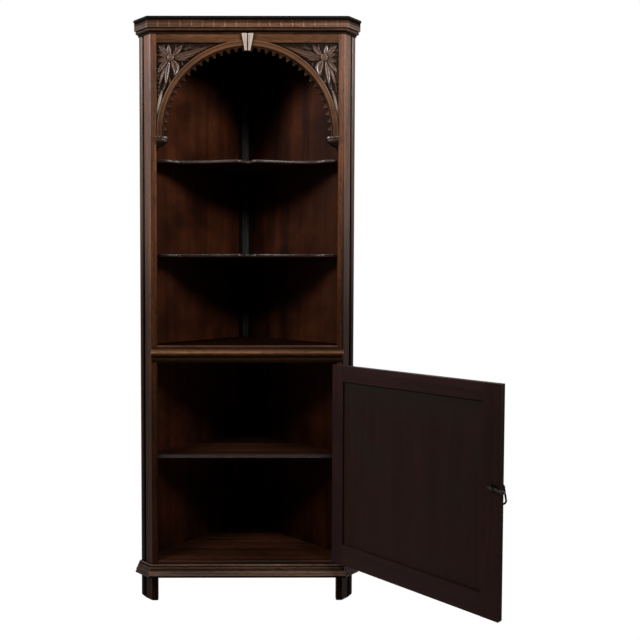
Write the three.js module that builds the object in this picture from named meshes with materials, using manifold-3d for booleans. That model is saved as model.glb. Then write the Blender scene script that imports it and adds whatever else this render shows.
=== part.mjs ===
// Corner cupboard of dark oak: canted corners, three open shelves under a carved arch,
// and a framed door below. Millimetres, +Z up, front towards -Y.
// The origin is the middle of the rear foot's sole.
import * as THREE from 'three';
import Module from 'manifold-3d';
import { mergeVertices } from 'three/addons/utils/BufferGeometryUtils.js';

// Driving sizes of the carcass
const bodyHeight = 1800;
const openingHalf = 279;
const stileEdge = 18;
const cantRun = 40;
const stileThick = 18;
const boardThick = 9;
const postFlank = 30;
const soleInset = 19;
const fitGap = 0.3;

// Heights
const footHeight = 80;
const plinthHeight = 35;
const floorRise = 12;
const floorThick = 15;
const waistTop = 801;
const waistThick = 11;
const waistRailHeight = 41;
const lowerShelfRise = 326;
const middleShelfShare = 0.49348;
const shelfBelowCorbel = 21.5;
const shelfThick = 10.5;

// Top, cornice, waist and plinth mouldings
const topThick = 8;
const topProjection = 20;
const corniceHeight = 40;
const corniceProjection = 16.5;
const fluteWidth = 7;
const fluteDepth = 1.4;
const flutePitch = 34;
const waistMouldHeight = 38;
const waistMouldDrop = 11;
const waistProjection = 13;
const plinthProjection = 22;
const railThick = 18;

// Bead and quirk worked down each cant
const quirkDepth = 3.5;
const faceWidth = 35.5;
const quirkWidth = 5.5;
const beadWidth = 13.5;

// Arch, carving and keystone
const archSetIn = 31.5;
const archCrownDrop = 49.5;
const archLegDrop = 12;
const scallopDepth = 9.5;
const scallopPitch = 22.9;
const scallopSlope = 10;
const scallopMargin = 2;
const bandInset = 13.5;
const bandWidth = 16;
const bandRelief = 3;
const fieldSink = 4;
const fieldMargin = 2;
const fieldHeadMargin = 26;
const fieldGap = 2;
const flowerInsetShare = 0.39;
const flowerDropShare = 0.403;
const bossRadius = 8;
const bossHeight = 6;
const carvingRelief = 2.2;
const carvingKeyed = 0.5;
const keystoneTopHalf = 18;
const keystoneFootHalf = 8.5;
const keystoneDrop = 2.5;
const keystoneProjection = 9;
const keystoneGrooveHalf = 3;
const corbelReach = 38;
const corbelHalfDepth = 17;
const corbelHeight = 45;

// Door
const hingeSideGap = 2.4;
const latchSideGap = 1.8;
const doorHeadGap = 4.5;
const doorFootGap = 5.5;
const doorThick = 20;
const hingeStileWidth = 42;
const latchStileWidth = 49;
const topRailWidth = 48;
const bottomRailWidth = 62;
const panelThick = 8;
const panelBack = 6;
const panelTongue = 6;
const foldInset = 24;
const foldRelief = 5;

// Butt hinges
const hingeHeight = 64;
const hingeTopInset = 43;
const hingeFootInset = 43;
const leafThick = 1;
const leafWidth = 17;
const knuckleRadius = 3.6;
const knuckleSetting = 4;
const knuckleShare = 1 / 3;
const knuckleGap = 0.25;
const pinRadius = 1.6;
const pinClearance = 0.08;
const pinHeadRadius = 2.8;
const pinHeadHeight = 1.4;

// Catch and drop handle
const catchInset = 17;
const catchHeight = 478;
const spindleRadius = 4;
const spindleClearance = 0.6;
const roseRadius = 9;
const roseThick = 2;
const plateRadius = 15;
const plateThick = 3;
const collarRadius = 7;
const collarThick = 3;
const collarGap = 0.3;
const eyeSetting = 22;
const eyeRadius = 6.4;
const eyeHoleRadius = 3.7;
const eyeThick = 4;
const tongueSetting = 7;
const tongueThick = 4;
const tongueReach = 36.5;
const tongueTail = 14;
const tongueHalf = 5;
const tongueTipHalf = 3;
const rivetHeight = 3;
const rivetRadius = 4;
const wireRadius = 2.1;
const dropTopRadius = 7;
const dropFootRadius = 13;
const dropLength = 37;

// Angles in degrees, and counts
const openDegrees = 132;
const droopDegrees = 9;
const archSteps = 64;
const roundSides = 24;
const wireSides = 10;
const foldCount = 9;
const leafSteps = 7;
const fieldSteps = 18;

// Mouldings in section, as shares of projection and height, from the foot upwards
const corniceShares = [
  [0, 0], [0.1, 0], [0.1, 0.13], [0.36, 0.15], [0.6, 0.18], [0.72, 0.24], [0.7, 0.3],
  [0.6, 0.335], [0.6, 0.36], [0.97, 0.37], [1, 0.4], [1, 1], [0, 1],
];
const fluteFootShare = 0.42;
const waistShares = [
  [0, 0], [0.16, 0], [0.22, 0.03], [0.27, 0.09], [0.27, 0.15], [0.2, 0.2], [0.1, 0.25],
  [0.08, 0.5], [0.3, 0.54], [0.72, 0.57], [0.94, 0.64], [1, 0.74], [0.94, 0.83], [0.72, 0.89],
  [0.5, 0.92], [0.46, 1], [0, 1],
];
const plinthShares = [
  [0, 0], [0.93, 0], [1, 0.03], [1, 0.12], [0.94, 0.2], [0.84, 0.23], [0.84, 0.26], [0.9, 0.29],
  [0.86, 0.38], [0.72, 0.46], [0.6, 0.57], [0.52, 0.67], [0.53, 0.7], [0.5, 0.74],
  [0.4, 0.76], [0.37, 0.85], [0.3, 0.87], [0.29, 0.93], [0.2, 0.99], [0, 1],
];
// Front edge of a serpentine shelf: share of the half width, share of the shelf's set-back
const frontShares = [
  [0, 1.9], [0.035, 1.6], [0.065, 0.98], [0.11, 0.8], [0.2, 1.06], [0.32, 1.45], [0.46, 1.76],
  [0.62, 1.96], [0.745, 1.84], [0.79, 1.3], [0.83, 0.92], [0.9, 0.84], [1, 0.84],
];
const shelfSetBack = 24;
const lowerShelfSetBack = 34;
// Corbel: share of its reach from the stile, share of the height
const corbelShares = [
  [0, 0], [0.12, 0.01], [0.2, 0.06], [0.22, 0.12], [0.14, 0.19], [0.2, 0.26], [0.42, 0.33],
  [0.66, 0.45], [0.84, 0.6], [0.92, 0.72], [0.9, 0.78], [0.97, 0.8], [1, 0.84], [1, 0.94],
  [0.96, 1], [0, 1],
];
// Keystone face: share of the half width, share of the projection
const keystoneBack = 0;

const wasm = await Module();
wasm.setup();

const cornerX = openingHalf + stileEdge;
const flankX = cornerX + cantRun;
const apexY = flankX + cantRun;
const shiftY = soleInset - apexY;
const half = Math.SQRT1_2;
const mitre = Math.tan(Math.PI / 8);
const turn = THREE.MathUtils.degToRad(openDegrees);
const floorTop = footHeight + plinthHeight + floorRise;
const openingHead = waistTop - waistThick - waistRailHeight;
const lowerShelfTop = floorTop + lowerShelfRise;
const corniceFoot = bodyHeight - topThick - corniceHeight;
const archRadius = openingHalf - archSetIn;
const archCrown = corniceFoot - archCrownDrop;
const archCentre = archCrown - archRadius;
const archLegFoot = archCentre - archLegDrop;
const upperShelfTop = archLegFoot - corbelHeight - shelfBelowCorbel;
const middleShelfTop = waistTop + (upperShelfTop - waistTop) * middleShelfShare;

const group = new THREE.Group();
group.name = 'corner_cupboard';

const oakFront = 0x4a2f1e;
const oakInside = 0x432419;
const oakDoor = 0x33221c;
const iron = 0x1c1a19;
const brass = 0x7b6238;

// A closed body between two outlines with the same number of points.
function loft(start, end) {
  const flat = flattened(start);
  const faces = THREE.ShapeUtils.triangulateShape(flat, []);
  const count = start.length;
  const positions = [...start, ...end].flatMap((p) => [p.x, p.y, p.z]);
  const index = [];
  for (const [a, b, c] of faces) {
    index.push(a, b, c);
    index.push(a + count, c + count, b + count);
  }
  const sideways = windsWith(faces, count);
  for (let i = 0; i < count; i += 1) {
    const j = (i + 1) % count;
    if (sideways) {
      index.push(j, i, i + count);
      index.push(j, i + count, j + count);
    } else {
      index.push(i, j, i + count);
      index.push(j, j + count, i + count);
    }
  }
  return outward(indexed(positions, index));
}

// The outline seen square-on, for cutting its face into triangles.
function flattened(points) {
  const normal = new THREE.Vector3();
  for (let i = 0; i < points.length; i += 1) {
    normal.add(new THREE.Vector3().crossVectors(points[i], points[(i + 1) % points.length]));
  }
  normal.normalize();
  const along = new THREE.Vector3().subVectors(points[1], points[0]).normalize();
  const across = new THREE.Vector3().crossVectors(normal, along);
  return points.map((p) => new THREE.Vector2(p.dot(along), p.dot(across)));
}

function windsWith(faces, count) {
  for (const [a, b, c] of faces) {
    for (const [i, j] of [[a, b], [b, c], [c, a]]) {
      if ((i + 1) % count === j) {
        return true;
      }
    }
  }
  return false;
}

function indexed(positions, index) {
  const geometry = new THREE.BufferGeometry();
  geometry.setAttribute('position', new THREE.Float32BufferAttribute(positions, 3));
  geometry.setIndex(index);
  return geometry;
}

// Welds a geometry, drops its empty triangles and turns its faces outwards.
function outward(source) {
  const bare = source.clone();
  bare.deleteAttribute('normal');
  bare.deleteAttribute('uv');
  const geometry = mergeVertices(bare);
  const p = geometry.getAttribute('position');
  const old = geometry.getIndex().array;
  const index = [];
  let volume = 0;
  for (let i = 0; i < old.length; i += 3) {
    const [a, b, c] = [old[i], old[i + 1], old[i + 2]];
    if (a !== b && b !== c && c !== a) {
      index.push(a, b, c);
      const va = new THREE.Vector3().fromBufferAttribute(p, a);
      const vb = new THREE.Vector3().fromBufferAttribute(p, b);
      const vc = new THREE.Vector3().fromBufferAttribute(p, c);
      volume += va.dot(vb.cross(vc));
    }
  }
  if (volume < 0) {
    for (let i = 0; i < index.length; i += 3) {
      [index[i], index[i + 1]] = [index[i + 1], index[i]];
    }
  }
  geometry.setIndex(index);
  return geometry;
}

function manifoldOf(source) {
  const geometry = outward(source);
  const mesh = new wasm.Mesh({
    numProp: 3,
    vertProperties: new Float32Array(geometry.getAttribute('position').array),
    triVerts: new Uint32Array(geometry.getIndex().array),
  });
  mesh.merge();
  return new wasm.Manifold(mesh);
}

function geometryOf(body) {
  const mesh = body.getMesh();
  return indexed(Array.from(mesh.vertProperties), Array.from(mesh.triVerts));
}

function joined(parts) {
  const bodies = parts.map(manifoldOf);
  return geometryOf(wasm.Manifold.union(bodies));
}

function cut(source, tools) {
  return geometryOf(manifoldOf(source).subtract(wasm.Manifold.union(tools.map(manifoldOf))));
}

// An upright body on a plan outline.
function upright(plan, foot, head) {
  return loft(
    plan.map(([x, y]) => new THREE.Vector3(x, y, foot)),
    plan.map(([x, y]) => new THREE.Vector3(x, y, head)),
  );
}

// A body whose outline is drawn on the front, running from one depth to another.
function standing(outline, front, back) {
  return loft(
    outline.map(([x, z]) => new THREE.Vector3(x, front, z)),
    outline.map(([x, z]) => new THREE.Vector3(x, back, z)),
  );
}

// A body whose section is drawn in depth and height, running sideways.
function running(section, left, right) {
  return loft(
    section.map(([y, z]) => new THREE.Vector3(left, y, z)),
    section.map(([y, z]) => new THREE.Vector3(right, y, z)),
  );
}

function box(left, right, front, back, foot, head) {
  return upright([[left, front], [right, front], [right, back], [left, back]], foot, head);
}

function mirrored(plan) {
  return plan.map(([x, y]) => [-x, y]).reverse();
}

// A cylinder along Y, centred on a place on the door's face.
function barAlongY(x, z, radius, front, back, sides = roundSides) {
  const bar = new THREE.CylinderGeometry(radius, radius, back - front, sides);
  bar.translate(x, (front + back) / 2, z);
  return bar;
}

function add(name, source, colour, opened = false) {
  const geometry = outward(source);
  if (opened) {
    geometry.translate(-pivotX, -pivotY, 0);
    geometry.rotateZ(turn);
    geometry.translate(pivotX, pivotY, 0);
  }
  geometry.translate(0, shiftY, 0);
  geometry.computeVertexNormals();
  const material = new THREE.MeshStandardMaterial({ color: colour, roughness: 0.5 });
  const mesh = new THREE.Mesh(geometry, material);
  mesh.name = name;
  group.add(mesh);
}

// Corner stiles: a narrow front edge, a canted face with a quirked bead, and a foot below.
function cantPoint(along, depth) {
  return [cornerX + (along - depth) * half, (along + depth) * half];
}

const cantLength = cantRun / half;
const innerCant = apexY - 2 * cantRun - stileThick / half;
const beadStart = faceWidth + quirkWidth;
const beadShares = [[0, 0.45], [0.12, 0.12], [0.35, 0], [0.65, 0], [0.88, 0.12], [1, 0.7]];

function stilePlan() {
  const face = [
    [openingHalf, 0],
    [cornerX, 0],
    cantPoint(faceWidth, 0),
    cantPoint(faceWidth + quirkWidth / 3, quirkDepth),
    cantPoint(beadStart - quirkWidth / 4, quirkDepth),
    ...beadShares.map(([a, d]) => cantPoint(beadStart + beadWidth * a, quirkDepth * d)),
    cantPoint(cantLength, quirkDepth * beadShares[beadShares.length - 1][1]),
  ];
  const back = [
    cantPoint(cantLength, stileThick),
    [innerCant + railThick, railThick],
    [openingHalf, railThick],
  ];
  return [...face, ...back];
}

function makeStiles() {
  const head = bodyHeight - topThick;
  add('stile_right', upright(stilePlan(), 0, head), oakFront);
  add('stile_left', upright(mirrored(stilePlan()), 0, head), oakFront);
}

// Rear corner post and the two back boards that meet it.
const boardInset = boardThick * half;

function makeBack() {
  const head = bodyHeight - topThick;
  const post = [
    [0, apexY],
    [-postFlank, apexY - postFlank],
    [boardInset - postFlank, apexY - postFlank - boardInset],
    [postFlank - boardInset, apexY - postFlank - boardInset],
    [postFlank, apexY - postFlank],
  ];
  add('rear_post', upright(post, 0, head), oakInside);
  const [startX, startY] = cantPoint(cantLength, stileThick);
  const board = [
    [startX, startY],
    [postFlank, apexY - postFlank],
    [postFlank - boardInset, apexY - postFlank - boardInset],
    [startX - boardInset, startY - boardInset],
  ];
  add('back_board_right', upright(board, footHeight, head), oakInside);
  add('back_board_left', upright(mirrored(board), footHeight, head), oakInside);
}

// A board that fills the corner behind the stiles, with its own front edge, left to right.
function cornerPlan(front) {
  const [edge, setBack] = front[front.length - 1];
  const [stileX, stileY] = cantPoint(cantLength, stileThick);
  const clear = fitGap / half;
  const right = [];
  if (setBack < railThick) {
    const behind = railThick + fitGap;
    right.push([edge, behind], [innerCant + behind - clear, behind]);
  }
  right.push(
    [stileX - boardInset - clear, stileY - boardInset],
    [postFlank - boardInset, apexY - postFlank - boardInset - clear],
  );
  return [...front, ...right, ...mirrored(right)];
}

function straightFront(edge, setBack) {
  return [[-edge, setBack], [edge, setBack]];
}

function makeShelves() {
  const shelfHalf = innerCant + shelfSetBack * frontShares[frontShares.length - 1][1] - fitGap / half;
  const rightHalf = frontShares.map(([x, y]) => [x * shelfHalf, y * shelfSetBack]);
  const front = [...mirrored(rightHalf), ...rightHalf.slice(1)];
  const serpentine = cornerPlan(front);
  add('upper_shelf', upright(serpentine, upperShelfTop - shelfThick, upperShelfTop), oakInside);
  add('middle_shelf', upright(serpentine, middleShelfTop - shelfThick, middleShelfTop), oakInside);
  const lowerHalf = innerCant + lowerShelfSetBack - fitGap / half;
  const straight = cornerPlan(straightFront(lowerHalf, lowerShelfSetBack));
  add('lower_shelf', upright(straight, lowerShelfTop - shelfThick, lowerShelfTop), oakInside);
  const full = cornerPlan(straightFront(openingHalf - fitGap, 0));
  add('waist_board', upright(full, waistTop - waistThick, waistTop), oakFront);
  add('floor_board', upright(full, floorTop - floorThick, floorTop), oakInside);
}

// Rails across the front, between the stiles.
function makeRails() {
  const waist = box(-openingHalf, openingHalf, 0, railThick, openingHead, waistTop - waistThick);
  add('waist_rail', waist, oakFront);
  const plinth = box(-openingHalf, openingHalf, 0, railThick, footHeight, floorTop - floorThick);
  add('plinth_rail', plinth, oakFront);
}

// Planted mouldings: a front length mitred to a return on each cant.
function frontEnd(shares, projection, height, foot) {
  return shares.map(([p, z]) => new THREE.Vector3(
    cornerX + p * projection * mitre,
    -p * projection,
    foot + z * height,
  ));
}

function flankEnd(shares, projection, height, foot) {
  return shares.map(([p, z]) => new THREE.Vector3(
    flankX + p * projection * half,
    cantRun - p * projection * half,
    foot + z * height,
  ));
}

function otherSide(points) {
  return points.map((p) => new THREE.Vector3(-p.x, p.y, p.z));
}

function mouldingSet(shares, projection, height, foot) {
  const corners = frontEnd(shares, projection, height, foot);
  const flanks = flankEnd(shares, projection, height, foot);
  return {
    front: loft(otherSide(corners), corners),
    right: loft(corners, flanks),
    left: loft(otherSide(corners), otherSide(flanks)),
  };
}

function flute(x, y, angle, foot, head) {
  const outline = [[-fluteWidth, -fluteDepth], [fluteWidth, -fluteDepth], [0, fluteDepth]];
  const groove = upright(outline, foot, head);
  groove.rotateZ(angle);
  groove.translate(x, y, 0);
  return groove;
}

function makeMouldings() {
  const cornice = mouldingSet(corniceShares, corniceProjection, corniceHeight, corniceFoot);
  const fluteFoot = corniceFoot + corniceHeight * fluteFootShare;
  const fluteHead = bodyHeight - topThick + fluteDepth;
  const reach = Math.floor(cornerX / flutePitch);
  const flutes = [];
  for (let i = -reach; i <= reach; i += 1) {
    flutes.push(flute(i * flutePitch, -corniceProjection, 0, fluteFoot, fluteHead));
  }
  add('cornice_front', cut(cornice.front, flutes), oakFront);
  const midX = (cornerX + flankX + corniceProjection * (mitre + half)) / 2;
  const midY = (cantRun - corniceProjection * (1 + half)) / 2;
  const onRight = flute(midX, midY, Math.PI / 4, fluteFoot, fluteHead);
  const onLeft = flute(-midX, midY, -Math.PI / 4, fluteFoot, fluteHead);
  add('cornice_right', cut(cornice.right, [onRight]), oakFront);
  add('cornice_left', cut(cornice.left, [onLeft]), oakFront);
  const plinth = mouldingSet(plinthShares, plinthProjection, plinthHeight, footHeight);
  add('plinth_moulding_front', plinth.front, oakFront);
  add('plinth_moulding_right', plinth.right, oakFront);
  add('plinth_moulding_left', plinth.left, oakFront);
  const waistFoot = waistTop - waistMouldDrop - waistMouldHeight;
  const section = waistShares.map(([p, z]) => [-p * waistProjection, waistFoot + z * waistMouldHeight]);
  add('waist_moulding', running(section, -cornerX, cornerX), oakFront);
  const top = [
    [cornerX + topProjection * mitre, -topProjection],
    [flankX + topProjection * half, cantRun - topProjection * half],
    [0, apexY],
    [-flankX - topProjection * half, cantRun - topProjection * half],
    [-cornerX - topProjection * mitre, -topProjection],
  ];
  add('top_board', upright(top, bodyHeight - topThick, bodyHeight), oakFront);
}

// Arched head rail with a raised band, a scalloped edge and a carved field on each side.
const bandOuter = archRadius + bandInset + bandWidth;
const fieldX = openingHalf - fieldMargin;
const fieldTop = corniceFoot - fieldHeadMargin;
const cornerRoom = Math.hypot(fieldX, fieldTop - archCentre) - bandOuter;
const flowerX = fieldX - cornerRoom * flowerInsetShare;
const flowerZ = fieldTop - cornerRoom * flowerDropShare;

function polar(radius, angle) {
  return [radius * Math.cos(angle), archCentre + radius * Math.sin(angle)];
}

function arc(radius, from, to, steps) {
  const points = [];
  for (let i = 0; i <= steps; i += 1) {
    points.push(polar(radius, from + ((to - from) * i) / steps));
  }
  return points;
}

function scallopedEdge() {
  const teeth = Math.round((Math.PI * archRadius) / scallopPitch);
  const toothShares = [[0, 1], [0.2, 0.94], [0.33, 0.3], [0.5, 0], [0.67, 0.3], [0.8, 0.94]];
  const points = [];
  for (let i = 0; i < teeth; i += 1) {
    for (const [along, depth] of toothShares) {
      const angle = (Math.PI * (i + along)) / teeth;
      points.push(polar(archRadius + scallopDepth * depth, angle));
    }
  }
  points.push(polar(archRadius + scallopDepth, Math.PI));
  return points;
}

// The slope worked on the front of the teeth, as the shape that it takes away.
function toothSlope() {
  const wide = archRadius + scallopDepth + scallopMargin;
  const slope = new THREE.CylinderGeometry(archRadius, wide, scallopSlope, 2 * archSteps);
  slope.translate(0, scallopSlope / 2, archCentre);
  return slope;
}

// Leaves about each flower, as shares of the room in the corner: outwards, then upwards.
const leafShares = [
  { from: [-0.06, 0.06], by: [-0.24, 0.22], to: [-0.35, 0.37], width: 0.064 },
  { from: [-0.08, 0.04], by: [-0.63, 0.12], to: [-1.24, 0.36], width: 0.055 },
  { from: [-0.08, 0.01], by: [-0.45, -0.03], to: [-0.82, 0.16], width: 0.05 },
  { from: [-0.08, -0.02], by: [-0.34, -0.03], to: [-0.52, -0.08], width: 0.055 },
  { from: [-0.03, -0.08], by: [-0.22, -0.27], to: [-0.08, -0.52], width: 0.095 },
  { from: [0.03, -0.08], by: [0.13, -0.45], to: [0.14, -0.86], width: 0.062 },
  { from: [0.2, -0.72], by: [0.22, -1.08], to: [0.385, -1.46], width: 0.036 },
  { from: [0.06, -0.06], by: [0.24, -0.18], to: [0.375, -0.49], width: 0.06 },
  { from: [0.08, -0.03], by: [0.27, -0.05], to: [0.37, -0.18], width: 0.048 },
  { from: [0.08, 0.02], by: [0.27, 0.11], to: [0.375, 0.06], width: 0.046 },
  { from: [0.055, 0.07], by: [0.22, 0.2], to: [0.36, 0.35], width: 0.062 },
  { from: [0.01, 0.08], by: [0.07, 0.24], to: [0.05, 0.37], width: 0.052 },
  { from: [0.11, -0.2], by: [0.27, -0.5], to: [0.335, -0.89], width: 0.052 },
];

function leafOutline(leaf) {
  const place = ([across, up]) => new THREE.Vector2(
    flowerX + across * cornerRoom,
    flowerZ + up * cornerRoom,
  );
  const spine = new THREE.QuadraticBezierCurve(place(leaf.from), place(leaf.by), place(leaf.to));
  const left = [];
  const right = [];
  for (let i = 0; i <= leafSteps; i += 1) {
    const t = i / leafSteps;
    const middle = spine.getPoint(t);
    const along = spine.getTangent(t);
    const swell = leaf.width * cornerRoom * Math.sin(Math.PI * (0.1 + 0.86 * t));
    left.push([middle.x - along.y * swell, middle.y + along.x * swell]);
    right.push([middle.x + along.y * swell, middle.y - along.x * swell]);
  }
  return [...left, ...right.reverse()];
}

function spandrelOutlines() {
  const clear = bandOuter + fieldGap;
  const lowTip = Math.acos(fieldX / clear);
  const highTip = Math.asin((fieldTop - archCentre) / clear);
  const field = [[fieldX, fieldTop], ...arc(clear, highTip, lowTip, fieldSteps)];
  return { field, raised: leafShares.map(leafOutline) };
}

function makeArch() {
  const head = bodyHeight - topThick;
  const outline = [
    [openingHalf, archLegFoot],
    [openingHalf, head],
    [-openingHalf, head],
    [-openingHalf, archLegFoot],
    [-archRadius - scallopDepth, archLegFoot],
    ...scallopedEdge().reverse(),
    [archRadius + scallopDepth, archLegFoot],
  ];
  const bandInner = archRadius + bandInset;
  const reach = Math.min(openingHalf, bandOuter);
  const crossing = Math.acos(reach / bandOuter);
  const band = [
    [reach, archLegFoot],
    ...arc(bandOuter, crossing, Math.PI - crossing, archSteps),
    [-reach, archLegFoot],
    [-bandInner, archLegFoot],
    ...arc(bandInner, Math.PI, 0, archSteps),
    [bandInner, archLegFoot],
  ];
  const { field, raised } = spandrelOutlines();
  const carving = [standing(band, -bandRelief, carvingKeyed)];
  const fields = [];
  for (const side of [mirrored, (plan) => plan]) {
    fields.push(standing(side(field), -fieldSink, fieldSink));
    for (const shape of raised) {
      carving.push(standing(side(shape), fieldSink - carvingRelief, fieldSink + carvingKeyed));
    }
    const [[bossX]] = side([[flowerX, flowerZ]]);
    carving.push(barAlongY(bossX, flowerZ, bossRadius, fieldSink - bossHeight, fieldSink + carvingKeyed, 16));
  }
  const rail = cut(standing(outline, 0, railThick), [...fields, toothSlope()]);
  const room = keystone(fitGap);
  add('arch_rail', cut(joined([rail, ...carving]), [room]), oakFront);
}

// Keystone: a tapered block with a groove down its middle.
function keystonePlan(halfWidth, margin, height) {
  const w = halfWidth + margin;
  const face = -keystoneProjection - margin;
  const groove = margin > 0 ? face : -keystoneProjection / 3;
  return [
    [-w, keystoneBack], [-w, face], [-keystoneGrooveHalf, face], [0, groove],
    [keystoneGrooveHalf, face], [w, face], [w, keystoneBack],
  ].map(([x, y]) => new THREE.Vector3(x, y, height));
}

function keystone(margin) {
  const foot = keystonePlan(keystoneFootHalf, margin, archCrown - keystoneDrop);
  const top = keystonePlan(keystoneTopHalf, margin, corniceFoot);
  return loft(foot, top);
}

function makeArchTrim() {
  add('keystone', keystone(0), oakFront);
  const profile = corbelShares.map(([r, z]) => new THREE.Vector2(r * corbelReach, z * corbelHeight));
  const wide = openingHalf + 2 * corbelReach;
  for (const [name, side] of [['corbel_left', -1], ['corbel_right', 1]]) {
    const cup = new THREE.LatheGeometry(profile, roundSides);
    cup.rotateX(Math.PI / 2);
    cup.scale(1, corbelHalfDepth / corbelReach, 1);
    cup.translate(side * openingHalf, railThick / 2, archLegFoot - corbelHeight);
    const reach = side > 0 ? [openingHalf, wide] : [-wide, -openingHalf];
    const beyond = box(...reach, -corbelReach, 2 * corbelReach, 0, bodyHeight);
    add(name, cut(cup, [beyond]), oakFront);
  }
}

// Door frame and panel, drawn closed and then swung open.
const doorRight = openingHalf - hingeSideGap;
const doorLeft = latchSideGap - openingHalf;
const doorHead = openingHead - doorHeadGap;
const doorFoot = floorTop + doorFootGap;
const panelFront = panelBack + panelThick;
const panelRight = doorRight - hingeStileWidth;
const panelLeft = doorLeft + latchStileWidth;
const panelHead = doorHead - topRailWidth;
const panelFoot = doorFoot + bottomRailWidth;
const pivotX = openingHalf - hingeSideGap / 2;
const pivotY = -knuckleSetting;

// The groove's section, from an edge of the piece inwards.
function groovedEdge(edge, inwards) {
  const bottom = edge + inwards * panelTongue;
  return [
    [edge, panelFront + fitGap / 2],
    [bottom, panelFront + fitGap / 2],
    [bottom, panelBack - fitGap / 2],
    [edge, panelBack - fitGap / 2],
  ];
}

function makeDoor() {
  const hingeStile = [[doorRight, 0], [doorRight, doorThick], [panelRight, doorThick],
    ...groovedEdge(panelRight, 1), [panelRight, 0]];
  add('door_hinge_stile', upright(hingeStile, doorFoot, doorHead), oakDoor, true);
  const latchStile = [[doorLeft, 0], [doorLeft, doorThick], [panelLeft, doorThick],
    ...groovedEdge(panelLeft, -1), [panelLeft, 0]];
  const hole = barAlongY(catchX, catchHeight, spindleRadius + spindleClearance, -doorThick, 2 * doorThick);
  add('door_latch_stile', cut(upright(latchStile, doorFoot, doorHead), [hole]), oakDoor, true);
  const asSection = (edges) => edges.map(([z, y]) => [y, z]);
  const topRail = asSection([[doorHead, 0], [doorHead, doorThick], [panelHead, doorThick],
    ...groovedEdge(panelHead, 1), [panelHead, 0]]);
  add('door_top_rail', running(topRail, panelLeft, panelRight), oakDoor, true);
  const bottomRail = asSection([[doorFoot, 0], [doorFoot, doorThick], [panelFoot, doorThick],
    ...groovedEdge(panelFoot, -1), [panelFoot, 0]]);
  add('door_bottom_rail', running(bottomRail, panelLeft, panelRight), oakDoor, true);
  makePanel();
}

function makePanel() {
  const tongue = panelTongue - fitGap;
  const left = panelLeft - tongue;
  const right = panelRight + tongue;
  const foldLeft = panelLeft + foldInset;
  const foldWidth = (panelRight - foldInset - foldLeft) / foldCount;
  const foldCurve = [0.15, 0.75, 1, 0.75, 0.15];
  const front = [[left, panelBack], [foldLeft, panelBack]];
  for (let i = 0; i < foldCount; i += 1) {
    foldCurve.forEach((rise, j) => {
      const across = (j + 0.5) / foldCurve.length;
      front.push([foldLeft + foldWidth * (i + across), panelBack - foldRelief * rise]);
    });
  }
  front.push([panelRight - foldInset, panelBack]);
  const folds = [...front.slice(1), [panelRight - foldInset, panelFront], [foldLeft, panelFront]];
  const board = box(left, right, panelBack, panelFront, panelFoot - tongue, panelHead + tongue);
  const field = upright(folds, panelFoot + foldInset, panelHead - foldInset);
  add('door_panel', joined([board, field]), oakDoor, true);
}

// Butt hinges: two outer knuckles on the frame, the middle one on the door, and a pin.
function knuckles(spans) {
  return spans.map(([foot, head]) => {
    const barrel = new THREE.CylinderGeometry(knuckleRadius, knuckleRadius, head - foot, roundSides);
    barrel.rotateX(Math.PI / 2);
    barrel.translate(pivotX, pivotY, (foot + head) / 2);
    return barrel;
  });
}

function hingeLeaf(foot, spans, left, right) {
  const plate = box(left, right, 0, leafWidth, foot, foot + hingeHeight);
  const webs = spans.map(([low, high]) => box(left, right, pivotY, leafThick, low, high));
  const bore = new THREE.CylinderGeometry(
    pinRadius + pinClearance,
    pinRadius + pinClearance,
    2 * hingeHeight,
    roundSides,
  );
  bore.rotateX(Math.PI / 2);
  bore.translate(pivotX, pivotY, foot + hingeHeight / 2);
  return cut(joined([plate, ...webs, ...knuckles(spans)]), [bore]);
}

function makeHinge(name, foot) {
  const rise = hingeHeight * knuckleShare;
  const head = foot + hingeHeight;
  const outer = [[foot, foot + rise - knuckleGap], [head - rise + knuckleGap, head]];
  const middle = [[foot + rise, head - rise]];
  add(`${name}_frame_leaf`, hingeLeaf(foot, outer, openingHalf - leafThick, openingHalf), brass);
  add(`${name}_door_leaf`, hingeLeaf(foot, middle, doorRight, doorRight + leafThick), brass, true);
  const pin = new THREE.LatheGeometry([
    new THREE.Vector2(0, -pinHeadHeight),
    new THREE.Vector2(pinHeadRadius, -pinHeadHeight),
    new THREE.Vector2(pinHeadRadius, 0),
    new THREE.Vector2(pinRadius, 0),
    new THREE.Vector2(pinRadius, hingeHeight),
    new THREE.Vector2(pinHeadRadius, hingeHeight),
    new THREE.Vector2(pinHeadRadius, hingeHeight + pinHeadHeight),
    new THREE.Vector2(0, hingeHeight + pinHeadHeight),
  ], roundSides);
  pin.rotateX(Math.PI / 2);
  pin.translate(pivotX, pivotY, foot);
  add(`${name}_pin`, pin, brass);
}

// Catch: a spindle through the latch stile, a tongue inside and a drop handle outside.
const catchX = doorLeft + catchInset;

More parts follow.
